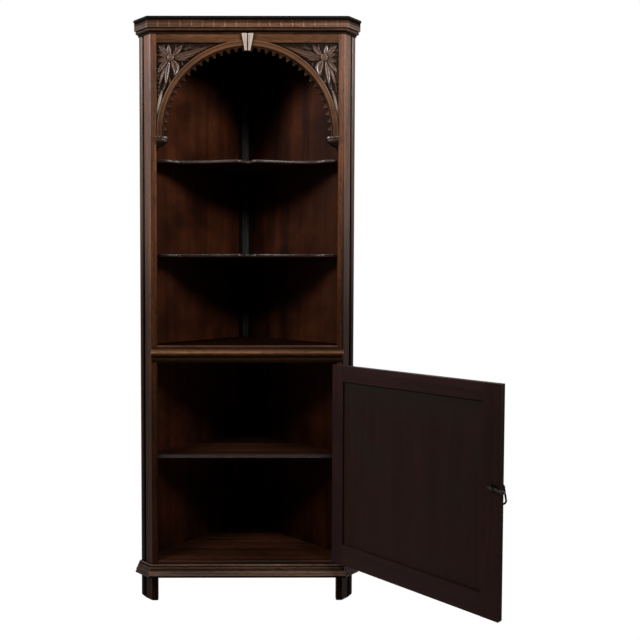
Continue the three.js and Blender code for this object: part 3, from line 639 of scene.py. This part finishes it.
def leg_down(piece, side):
    """Carries one end of the arch straight down to its corbel."""
    pick(piece)
    bpy.ops.object.mode_set(mode="EDIT")
    bpy.ops.mesh.select_mode(type="VERT")
    bpy.ops.mesh.select_all(action="DESELECT")
    bpy.ops.object.mode_set(mode="OBJECT")
    for vertex in piece.data.vertices:
        vertex.select = vertex.co.z < ARCH_CENTRE.z + BAND_FOOT and vertex.co.x * side > 0
    bpy.ops.object.mode_set(mode="EDIT")
    bpy.ops.mesh.extrude_region_move(TRANSFORM_OT_translate={"value": (0, 0, -BAND_LEG)})
    bpy.ops.object.mode_set(mode="OBJECT")


dress("arch_rail", oak(
    "arch_oak", (58, 36, 23), (122, 80, 51), ACROSS,
    dirt_and_shade(0.85), painted_light_by_height(FRIEZE_RUN, FRIEZE_PAINTED_SHADE), painted_light_by_reach(TOOTH_PAINTED_LIGHT),
    painted_light_by_depth(FIELD_DEPTHS, FIELD_PAINTED_SHADE, beyond_band=True),
    rough=0.38, sheen=0.12, seed=33.8,
))
band = section("arch_band", [place(r, BAND_BED - h, ARCH_HEIGHT) for r, h in BAND_SECTION])
spun(band, ARCH_CENTRE, (0, 1, 0), math.pi, ARCH_STEPS)
for side in (1, -1):
    leg_down(band, side)
close_up(band)
soften(band)
band_oak = oak(
    "band_oak", (48, 31, 21), (106, 71, 47), ACROSS,
    dirt_and_shade(0.8), wear(0.3), painted_light_by_height(BAND_RUN, BAND_PAINTED_SHADE), painted_light_by_reach(RIM_PAINTED_LIGHT),
    rough=0.3, sheen=0.3, seed=36.2,
)
fit(band, "carcass", band_oak, "oak_front")


# Carving in the two upper corners. A flower with long hollowed leaves is cut down into the
# rail: every leaf has two raised rims, a scooped face and a low vein, and bends as it grows.
# A round boss is its eye, and one tendril, painted near white as a highlight, runs down beside
# the band. The leaves are painted in light and shade by depth, bright on their rims.
FLOWER = (233.9, 1681.5)
GROUND = 4.1
LEAF_RISE = 4.7
LEAF_COLUMNS = 14
LEAF_ROWS = 10
FULL_WIDTH = 12
CUT_WALL = 0.0012
CARVED_TURN = 60
ON_LINE = 0.001
RISE_SHARES = (0, 0.72, 1, 0.78, 0.62, 0.76, 0.62, 0.78, 1, 0.72, 0)
WIDTH_SHARES = (
    0.34, 0.55, 0.72, 0.86, 0.95, 1, 1, 0.97, 0.9, 0.8, 0.67, 0.52, 0.34, 0.16, 0.03,
)
LEAVES = (
    ((-7, 6), (-27, 25), (-38, 41), 18), ((-9, 4), (-70, 13), (-138, 40), 15),
    ((-9, 1), (-50, -3), (-91, 18), 14), ((-9, -2), (-38, -3), (-58, -9), 15),
    ((-3, -9), (-25, -30), (-9, -58), 25), ((3, -9), (14, -50), (16, -96), 16),
    ((16, -76), (22, -94), (29, -116), 9), ((7, -7), (27, -20), (42, -55), 16),
    ((9, -3), (30, -6), (41.5, -20), 14), ((9, 2), (30, 12), (42, 7), 13.5),
    ((6, 8), (24, 22), (40, 39), 18), ((1, 9), (8, 26), (6, 41.5), 16),
    ((12, -22), (30, -55), (37.5, -99), 12), ((-30, 24), (-58, 26), (-84, 41), 8),
    ((-52, 24), (-80, 28), (-104, 41), 6.5), ((30, -70), (36, -92), (42, -118), 7),
    ((32, -95), (38, -118), (42.5, -140), 5.5), ((-18, 16), (-16, 30), (-18, 42), 8),
    ((18, 22), (22, 32), (20, 42), 7.5), ((24, 16), (34, 20), (42.5, 22), 7),
    ((28, -30), (36, -44), (43, -76), 6.5), ((-34, -12), (-38, -22), (-34, -30), 7),
    ((27, -6), (34, -10), (42.6, -7), 6), ((29, -38), (34, -40), (42.6, -33), 6),
    ((30, -52), (35, -53), (42.6, -46), 6), ((31, -66), (36, -67), (42.6, -59), 6),
    ((32, -80), (37, -80), (42.6, -72), 6), ((33, -93), (38, -93), (42.6, -85), 5.5),
    ((34, -106), (38, -106), (42.6, -98), 5), ((35, -119), (39, -118), (42.6, -111), 4.5),
    ((-62, 16), (-76, 22), (-92, 34), 6), ((-40, 14), (-50, 26), (-62, 41), 7),
    ((-74, 6), (-88, 18), (-108, 30), 6), ((4, -60), (0, -76), (6, -92), 8),
)
TENDRIL = ((26.5, -100), (37.5, -140), (42.8, -180), 10, 1.3)
CARVED_DEPTHS = (-0.0012, 0.0041)
# Painted light by depth: the rims bright as highlights, the hollows darker as shade.
CARVED_PAINTED_LIGHT = ((0, 2.3), (0.13, 2), (0.22, 1), (0.36, 0.65), (0.5, 0.55), (0.8, 0.45), (1, 0.4))
BOSS_STEPS = 28
BOSS_SECTION = (
    (0, 0), (11.4, 0), (11.2, 3), (10.2, 5.2), (8.2, 6.6), (6.2, 6.4), (4.9, 5.2), (4, 4.8),
    (3.3, 5.8), (1.9, 6.5), (0, 6.7),
)


def choose(piece, wanted):
    """Selects the corners of a piece in edit mode by where they are."""
    bpy.ops.object.mode_set(mode="OBJECT")
    for edge in piece.data.edges:
        edge.select = False
    for face in piece.data.polygons:
        face.select = False
    for vertex in piece.data.vertices:
        vertex.select = wanted(vertex.co)
    bpy.ops.object.mode_set(mode="EDIT")


def leaf_blank():
    """One leaf of unit length and width, flat on the bench, worked up from a grid."""
    bpy.ops.mesh.primitive_grid_add(x_subdivisions=LEAF_COLUMNS, y_subdivisions=LEAF_ROWS, size=1)
    leaf = bpy.context.object
    leaf.name = "leaf_blank"
    pick(leaf)
    bpy.ops.object.mode_set(mode="EDIT")
    bpy.ops.mesh.select_mode(type="VERT")
    bpy.ops.transform.translate(value=(0.5, 0, 0))
    for row, rise in enumerate(RISE_SHARES):
        choose(leaf, lambda spot: abs(spot.y + 0.5 - row / LEAF_ROWS) < ON_LINE)
        bpy.ops.transform.translate(value=(0, 0, rise))
    for column, width in enumerate(WIDTH_SHARES):
        # Where the leaf is narrow it's also low.
        x = column / LEAF_COLUMNS
        choose(leaf, lambda spot: abs(spot.x - x) < ON_LINE)
        thin = (1, width, 0.45 + 0.55 * min(1, 1.5 * width))
        bpy.ops.transform.resize(value=thin, center_override=(x, 0, 0))
    bpy.ops.object.mode_set(mode="OBJECT")
    return leaf


def bent_leaf(blank, start, pull, tip, width, swell=1):
    """A copy of the blank, cut to its length and bent along its own line."""
    bpy.ops.curve.primitive_bezier_curve_add()
    line = bpy.context.object
    line.data.dimensions = "2D"
    first, last = line.data.splines[0].bezier_points
    a, b, c = (Vector((*point, 0)) / 1000 for point in (start, pull, tip))
    for knot, spot in ((first, a), (last, c)):
        knot.handle_left_type = knot.handle_right_type = "FREE"
        knot.co = spot
        knot.handle_left = knot.handle_right = spot + (b - spot) * 2 / 3
    first.handle_left = a + (a - b) / 3
    last.handle_right = c + (c - b) / 3
    leaf = blank.copy()
    leaf.data = blank.data.copy()
    bpy.context.scene.collection.objects.link(leaf)
    pick(leaf)
    # A slender leaf is cut lower than a wide one.
    rise = LEAF_RISE * swell * (0.5 + 0.5 * min(1, width / FULL_WIDTH))
    size = (line.data.splines[0].calc_length(), width / 1000, rise / 1000)
    bpy.ops.object.mode_set(mode="EDIT")
    bpy.ops.mesh.select_all(action="SELECT")
    bpy.ops.transform.resize(value=size, center_override=(0, 0, 0))
    bpy.ops.object.mode_set(mode="OBJECT")
    bpy.ops.object.modifier_add(type="CURVE")
    leaf.modifiers[-1].object = line
    bpy.ops.object.modifier_apply(modifier=leaf.modifiers[-1].name)
    bpy.data.objects.remove(line)
    return leaf


def joined(pieces, name):
    """Several meshes made into one piece."""
    pick(pieces[0])
    for piece in pieces:
        piece.select_set(True)
    bpy.ops.object.join()
    whole = bpy.context.object
    whole.name = name
    whole.data.name = name
    return whole


def moved(piece, tip=0, step=None, flip=False):
    """Tips, mirrors or shifts a piece's own mesh, and leaves its object at the origin."""
    pick(piece)
    bpy.ops.object.mode_set(mode="EDIT")
    bpy.ops.mesh.select_all(action="SELECT")
    if tip:
        bpy.ops.transform.rotate(
            value=math.radians(tip), orient_axis="X", center_override=(0, 0, 0),
        )
    if flip:
        bpy.ops.transform.resize(value=(-1, 1, 1), center_override=(0, 0, 0))
        bpy.ops.mesh.normals_make_consistent(inside=False)
    if step:
        bpy.ops.transform.translate(value=step)
    bpy.ops.object.mode_set(mode="OBJECT")


blank = leaf_blank()
leaves = [bent_leaf(blank, *leaf) for leaf in LEAVES]
tendril = joined([bent_leaf(blank, *TENDRIL)], "rubbed_tendril_right")
bpy.data.objects.remove(blank)
carving = joined(leaves, "carved_leaves_right")
for worked in (carving, tendril):
    pick(worked)
    bpy.ops.object.modifier_add(type="SOLIDIFY")
    worked.modifiers[-1].thickness = CUT_WALL
    worked.modifiers[-1].offset = -1
    bpy.ops.object.modifier_apply(modifier=worked.modifiers[-1].name)
boss = section("flower_boss_right", [Vector((r / 1000, 0, h / 1000)) for r, h in BOSS_SECTION])
spun(boss, (0, 0, 0), (0, 0, 1), math.tau, BOSS_STEPS)
close_up(boss)
carving_oak = oak(
    "carving_oak", (38, 26, 19), (88, 61, 45), ACROSS,
    dirt_and_shade(0.6), wear(0.3), painted_light_by_depth(CARVED_DEPTHS, CARVED_PAINTED_LIGHT), rough=0.22, sheen=0.7, seed=39.5,
)
# Near white: a painted highlight along the tendril.
rubbed_oak = oak(
    "rubbed_oak", (146, 126, 112), (214, 196, 180), UP,
    dirt_and_shade(0.3), rough=0.2, sheen=0.8, seed=40.3,
)
boss_oak = oak(
    "boss_oak", (54, 37, 28), (102, 72, 55), ACROSS,
    dirt_and_shade(0.7), wear(0.3), rough=0.24, sheen=0.5, seed=41.1,
)
for worked, finish in ((carving, carving_oak), (tendril, rubbed_oak), (boss, boss_oak)):
    moved(worked, tip=90)
    # The carved side looks forwards, so a piece that was tipped on its face is turned over.
    if sum(vertex.co.y for vertex in worked.data.vertices) > 0:
        moved(worked, tip=180)
    moved(worked, step=place(FLOWER[0], GROUND, FLOWER[1]))
    soften(worked, CARVED_TURN)
    other = worked.copy()
    other.data = worked.data.copy()
    other.name = worked.name.replace("right", "left")
    other.data.name = other.name
    bpy.context.scene.collection.objects.link(other)
    moved(other, flip=True)
    soften(other, CARVED_TURN)
    for piece in (worked, other):
        fit(piece, "carcass", finish, "oak_front")


# Keystone and corbels. The keystone is a small tapered block with a groove down its face,
# its pale whitish colour painted in place of the lamps' reflection in its faces; each corbel is
# a turned cup and drop under a foot of the arch, painted with a lit cap and a shaded body.
KEYSTONE_EASE = 0.0006
CORBEL_EASE = 0.0004
CORBEL_RUN = (1.395, 1.445)
# Painted light by height on the corbels: the cap lit, the cup and drop below shaded.
CORBEL_PAINTED_LIGHT = ((0, 0.5), (0.12, 0.42), (0.3, 0.3), (0.58, 0.3), (0.7, 1.05), (1, 1.3))
# The keystone's pale colours stand for the lamps' reflection, not for its own colour.
KEYSTONE_GLARE_DEEP = (158, 138, 126)
KEYSTONE_GLARE_PALE = (206, 190, 178)
KEYSTONE_HOLLOWS = (120, 88, 66)
KEYSTONE_STRETCH = (1, 1, 0.12)
KEYSTONE_SCALE = 240
KEYSTONE_NOOK = 0.006
KEYSTONE_ROUGH = 0.34
KEYSTONE_SHEEN = 0.45


def painted_reflection(name):
    """A pale colour painted for the lamps' reflection, streaked, and browner in its hollows."""
    bench = Bench(bpy.data.materials.new(name))
    spot = bench.put("TexCoord").outputs["Object"]
    drawn = bench.put("Mapping", {"Vector": spot, "Scale": KEYSTONE_STRETCH}).outputs[0]
    streak = bench.noise(drawn, KEYSTONE_SCALE, detail=5, roughness=0.6)
    tone = bench.ramp(streak, ((0.3, stain(*KEYSTONE_GLARE_DEEP)), (0.7, stain(*KEYSTONE_GLARE_PALE))))
    nook = bench.put("AmbientOcclusion", {"Distance": KEYSTONE_NOOK}, samples=8).outputs["AO"]
    dirt_and_shade_tone = bench.ramp(nook, ((0.3, stain(*KEYSTONE_HOLLOWS)), (0.9, grey(1))))
    relief = {"Strength": 0.3, "Distance": 0.0003, "Height": streak}
    return bench.close(bench.put("BsdfPrincipled", {
        "Base Color": bench.blend("MULTIPLY", tone, dirt_and_shade_tone),
        "Roughness": KEYSTONE_ROUGH,
        "Specular IOR Level": KEYSTONE_SHEEN,
        "Normal": bench.put("Bump", relief).outputs[0],
    }).outputs[0])


keystone = eased(copy_of("keystone"), KEYSTONE_EASE)
fit(keystone, "carcass", painted_reflection("keystone_painted_reflection"), "oak_front", "keystone")
corbel_oak = oak(
    "corbel_oak", (44, 29, 21), (88, 60, 45), UP,
    dirt_and_shade(0.85), wear(0.8), painted_light_by_height(CORBEL_RUN, CORBEL_PAINTED_LIGHT), rough=0.22, sheen=0.4, seed=42.3,
)
for node in ("corbel_left", "corbel_right"):
    fit(eased(copy_of(node), CORBEL_EASE), "carcass", corbel_oak, "oak_front", node)


# Cornice and top board. The cornice is run in one section, mitred round the cants, with a
# narrow flute cut into its fascia every 34 mm; a thin dark board closes the top. The profile is
# painted in light and shade by height, darkest under the top board and in the undercut at its
# foot, with a highlight painted along each mitre and in each flute.
LEFT_CANT = Vector((-1, 1, 0)).normalized()
RIGHT_CANT = Vector((1, 1, 0)).normalized()
CORNICE_EASE = 0.0005
TOP_EASE = 0.0012
CORNICE_RUN = (1.752, 1.792)
# Painted light and shade down the cornice's profile.
CORNICE_PAINTED_LIGHT = (
    (0, 0.42), (0.14, 0.55), (0.2, 0.9), (0.25, 1.3), (0.31, 1.6), (0.36, 1.5), (0.4, 1.5),
    (0.44, 1.9), (0.5, 1.2), (0.54, 1.2), (0.59, 1.8), (0.67, 1.4), (0.72, 0.75), (0.8, 0.7),
    (0.88, 0.4), (0.94, 0.15), (1, 0.08),
)
# A highlight painted along each mitre of the returns.
MITRE_PAINTED_HIGHLIGHT = ((0, 2.2), (0.03, 1.8), (0.07, 1), (1, 1))
RETURN_DEEP = (38, 27, 21)
RETURN_PALE = (86, 62, 48)
FLUTE_PITCH = 0.034
FLUTE_FOOT = 1.7685
FLUTE_REACH = 0.006
# A highlight painted in each flute, with a darker edge.
FLUTE_PAINTED_LIGHT = ((0, 1.5), (0.3, 1.4), (0.7, 0.75), (1, 0.95))


def painted_flute_light(bench, colour):
    """A highlight painted at every flute along the fascia, pale with a darker edge."""
    apart = bench.work("PINGPONG", bench.axes["X"], FLUTE_PITCH / 2)
    streak = bench.tones(bench.span(apart, 0, FLUTE_REACH), FLUTE_PAINTED_LIGHT)
    above = bench.work("GREATER_THAN", bench.axes["Z"], FLUTE_FOOT)
    return bench.blend("MULTIPLY", colour, streak, above)


cornice_oak = oak(
    "cornice_oak", (52, 33, 22), (116, 78, 54), ACROSS,
    dirt_and_shade(0.5), painted_light_by_height(CORNICE_RUN, CORNICE_PAINTED_LIGHT), painted_flute_light, rough=0.38, sheen=0.12, seed=26.1,
)
left_oak, right_oak = (
    oak(
        name, RETURN_DEEP, RETURN_PALE, along,
        dirt_and_shade(0.5), painted_light_by_height(CORNICE_RUN, CORNICE_PAINTED_LIGHT), painted_light_across_cant(MITRE_PAINTED_HIGHLIGHT),
        rough=0.36, sheen=0.12, seed=seed,
    )
    for name, along, seed in (
        ("left_return_oak", LEFT_CANT, 27.5), ("right_return_oak", RIGHT_CANT, 30.1),
    )
)
for node, finish in (
    ("cornice_front", cornice_oak), ("cornice_left", left_oak), ("cornice_right", right_oak),
):
    fit(eased(copy_of(node), CORNICE_EASE), "carcass", finish, "oak_front", node)
top_oak = oak(
    "top_oak", (12, 9, 8), (26, 20, 17), ACROSS, rough=0.5, sheen=0.06, seed=45.6,
)
fit(eased(copy_of("top_board"), TOP_EASE), "carcass", top_oak, "oak_front", "top_board")


# Door. Two stiles and two rails, grooved for a panel whose outer face is worked in upright
# folds and polished like the fronts; its inner face is flat, with one thin dark coat.
DOOR_LEAN = math.radians(48)
DOOR_ALONG = Vector((math.cos(DOOR_LEAN), -math.sin(DOOR_LEAN), 0))
DOOR_OUTWARD = Vector((math.sin(DOOR_LEAN), math.cos(DOOR_LEAN), 0))
OUTER_FACING = 0.2
EDGE_FACING = 0.6
DOOR_DEEP = (50, 31, 30)
DOOR_PALE = (72, 46, 44)
OUTER_DEEP = (44, 26, 17)
OUTER_PALE = (102, 64, 42)
CLOUD_RUN = (0.6, 0.7)
CLOUD_CAST = (44, 38, 33)
CLOUD_SCALE = 7
CLOUD_TONES = ((0.5, 0), (0.68, 0.7))


def clouded(bench, colour):
    """A grey cast over the old coat, high up and in patches."""
    climb = bench.span(bench.axes["Z"], *CLOUD_RUN)
    mottle = bench.noise(bench.turned, CLOUD_SCALE, detail=4, roughness=0.6)
    both = bench.work("MAXIMUM", climb, bench.tones(mottle, CLOUD_TONES))
    return bench.blend("MIX", colour, stain(*CLOUD_CAST), both)


upright_oak = oak(
    "door_stile_oak", DOOR_DEEP, DOOR_PALE, UP,
    wear(0.4), rough=0.5, sheen=0.08, seed=48.9, figure=0.35,
)
latch_oak = oak(
    "door_latch_oak", (43, 25, 23), (63, 37, 33), UP,
    wear(0.4), rough=0.5, sheen=0.08, seed=49.6, figure=0.35,
)
level_oak = oak(
    "door_rail_oak", DOOR_DEEP, DOOR_PALE, DOOR_ALONG,
    rough=0.5, sheen=0.08, seed=51.3, figure=0.35,
)
panel_oak = oak(
    "door_panel_oak", (50, 30, 25), (60, 37, 31), UP,
    clouded, rough=0.52, sheen=0.08, seed=54.8, figure=0.25,
)
outer_oak = oak(
    "door_outer_oak", OUTER_DEEP, OUTER_PALE, UP,
    dirt_and_shade(0.75), wear(0.4), rough=0.4, sheen=0.15, seed=56.3,
)
outer_rail_oak = oak(
    "door_outer_rail_oak", OUTER_DEEP, OUTER_PALE, DOOR_ALONG,
    dirt_and_shade(0.75), wear(0.4), rough=0.4, sheen=0.15, seed=57.9,
)
edge_oak = oak(
    "door_edge_oak", (66, 50, 37), (92, 74, 56), UP,
    wear(0.2), rough=0.6, sheen=0.02, seed=58.6,
)
for node, inner, outer, ease in (
    ("door_hinge_stile", upright_oak, outer_oak, 0.0012),
    ("door_latch_stile", latch_oak, outer_oak, 0.0018),
    ("door_top_rail", level_oak, outer_rail_oak, 0.0008),
    ("door_bottom_rail", level_oak, outer_rail_oak, 0.0008),
    ("door_panel", panel_oak, outer_oak, 0.0004),
):
    member = eased(copy_of(node), ease)
    fit(member, "door", inner, "oak_door", node)
    member.data.materials.append(outer)
    member.data.materials.append(edge_oak)
    for face in member.data.polygons:
        if face.normal.dot(DOOR_OUTWARD) > OUTER_FACING:
            face.material_index = 1
        elif face.normal.dot(DOOR_ALONG) > EDGE_FACING and node == "door_latch_stile":
            face.material_index = 2


# Butt hinges. Brass gone brown: three knuckles on a pin, with the leaves let in flush with
# the edge of the door and with the stile.
METAL_SCALE = 160
SPECK_SCALE = 900
METAL_SHARE = 0.95
BRASS_TURN = 40


def old_metal(name, deep, worn, rough):
    """Metal with a worn, spotted skin."""
    bench = Bench(bpy.data.materials.new(name))
    spot = bench.put("TexCoord").outputs["Object"]
    cloud = bench.noise(spot, METAL_SCALE, detail=6, roughness=0.65)
    rub = {"Value": cloud, "To Min": rough - 0.1, "To Max": rough + 0.2}
    specks = bench.noise(spot, SPECK_SCALE, detail=3)
    relief = {"Strength": 0.25, "Distance": 0.0002, "Height": specks}
    return bench.close(bench.put("BsdfPrincipled", {
        "Metallic": METAL_SHARE,
        "Base Color": bench.ramp(cloud, ((0.36, stain(*deep)), (0.66, stain(*worn)))),
        "Roughness": bench.put("MapRange", rub).outputs[0],
        "Normal": bench.put("Bump", relief).outputs[0],
    }).outputs[0])


brass = old_metal("hinge_brass", (52, 38, 24), (126, 98, 60), rough=0.4)
for hinge in ("upper_hinge", "lower_hinge"):
    for part, body in (("frame_leaf", "carcass"), ("door_leaf", "door"), ("pin", "carcass")):
        node = f"{hinge}_{part}"
        piece = copy_of(node, "brass_")
        soften(piece, BRASS_TURN)
        fit(piece, body, brass, "brass", node)


# Catch and drop handle. Wrought iron, blacked and rubbed: a spindle through the latch stile
# between two round plates, a tapered tongue riveted on inside and a wire drop outside.
WIRE_SWELL = 0.0005
IRON_TURN = 45
iron = old_metal("catch_iron", (16, 15, 15), (62, 56, 52), rough=0.3)
for node, body in (
    ("catch_inner_rose", "door"), ("catch_outer_plate", "door"), ("catch_spindle", "catch"),
    ("catch_tongue", "catch"), ("drop_handle", "drop"),
):
    piece = copy_of(node, "iron_")
    if node == "drop_handle":
        bpy.ops.object.mode_set(mode="EDIT")
        bpy.ops.mesh.select_all(action="SELECT")
        bpy.ops.transform.shrink_fatten(value=WIRE_SWELL)
        bpy.ops.object.mode_set(mode="OBJECT")
    soften(piece, IRON_TURN)
    fit(piece, body, iron, "iron", node)


# The studio. A white floor and surround, two soft lamps high in front, and a black card that
# only the polish mirrors. The camera stands where the photographer did, a little left of the
# middle and at chest height.
EYE = (-0.04358, -2.65409, 1.02045)
EYE_TILT = 87.7
EYE_TURN = -0.18
LENS = 41.89
FILM_WIDTH = 36
SHIFT_RIGHT = 0.13195
SHIFT_UP = -0.02417
FAR = 200
LAMP_SPREAD = 120
CARD_SIZE = 3
CARD_SPOT = (0, -1.75, 1.2)
CARD_GREY = 0.004
FLOOR_SIZE = 60
FLOOR_GREY = 0.25
FLOOR_GLOW = 1.065
GLOW_SHARE = 0.94
AIR_LIGHT = 0.012

bpy.ops.object.camera_add(
    location=EYE, rotation=(math.radians(EYE_TILT), 0, math.radians(EYE_TURN)),
)
camera = bpy.context.object
camera.data.lens = LENS
camera.data.sensor_width = FILM_WIDTH
camera.data.shift_x = SHIFT_RIGHT
camera.data.shift_y = SHIFT_UP
camera.data.clip_end = FAR
bpy.context.scene.camera = camera


def lamp(name, spot, aim, width, power):
    """A square soft lamp that points at a spot on the cupboard."""
    bpy.ops.object.light_add(type="AREA", location=spot)
    light = bpy.context.object
    light.name = name
    light.data.shape = "RECTANGLE"
    light.data.size = width
    light.data.size_y = width
    light.data.energy = power
    light.data.spread = math.radians(LAMP_SPREAD)
    light.rotation_euler = (Vector(aim) - Vector(spot)).to_track_quat("-Z", "Y").to_euler()


def seen_directly(bench):
    """1 where the camera, a mirror or a glass sees it, and 0 for the light that it gives."""
    path = bench.put("LightPath").outputs
    seen = bench.work("MAXIMUM", path["Is Camera Ray"], path["Is Glossy Ray"])
    return bench.work("MAXIMUM", seen, path["Is Transmission Ray"])


lamp("left_soft_lamp", (-1.5, -1.4, 2.27), aim=(-0.1, -0.3, 1.7), width=0.6, power=14.6)
lamp("right_soft_lamp", (1.0, -1.4, 2.1), aim=(0.1, -0.3, 1.7), width=0.5, power=8.8)

cloth = Bench(bpy.data.materials.new("black_card"))
cloth.close(cloth.put("BsdfDiffuse", {"Color": grey(CARD_GREY)}).outputs[0])
bpy.ops.mesh.primitive_plane_add(
    size=CARD_SIZE, location=CARD_SPOT, rotation=(math.radians(90), 0, 0),
)
card = bpy.context.object
card.name = "dark_card"
card.data.materials.append(cloth.owner)
card.visible_camera = card.visible_shadow = card.visible_diffuse = False

paper = Bench(bpy.data.materials.new("white_floor"))
paper.close(paper.put("MixShader", {
    0: paper.work("MULTIPLY", seen_directly(paper), GLOW_SHARE),
    1: paper.put("BsdfDiffuse", {"Color": grey(FLOOR_GREY)}).outputs[0],
    2: paper.put("Emission", {"Color": grey(1), "Strength": FLOOR_GLOW}).outputs[0],
}).outputs[0])
bpy.ops.mesh.primitive_plane_add(size=FLOOR_SIZE, location=(0, 0, 0))
floor = bpy.context.object
floor.name = "studio_floor"
floor.data.materials.append(paper.owner)

air = Bench(bpy.data.worlds.new("studio_air"))
bpy.context.scene.world = air.owner
level = {"Value": seen_directly(air), "To Min": AIR_LIGHT, "To Max": 1.0}
strength = air.put("MapRange", level).outputs[0]
air.close(
    air.put("Background", {"Color": grey(1), "Strength": strength}).outputs[0], "OutputWorld",
)
bpy.context.scene.view_settings.view_transform = "Standard"
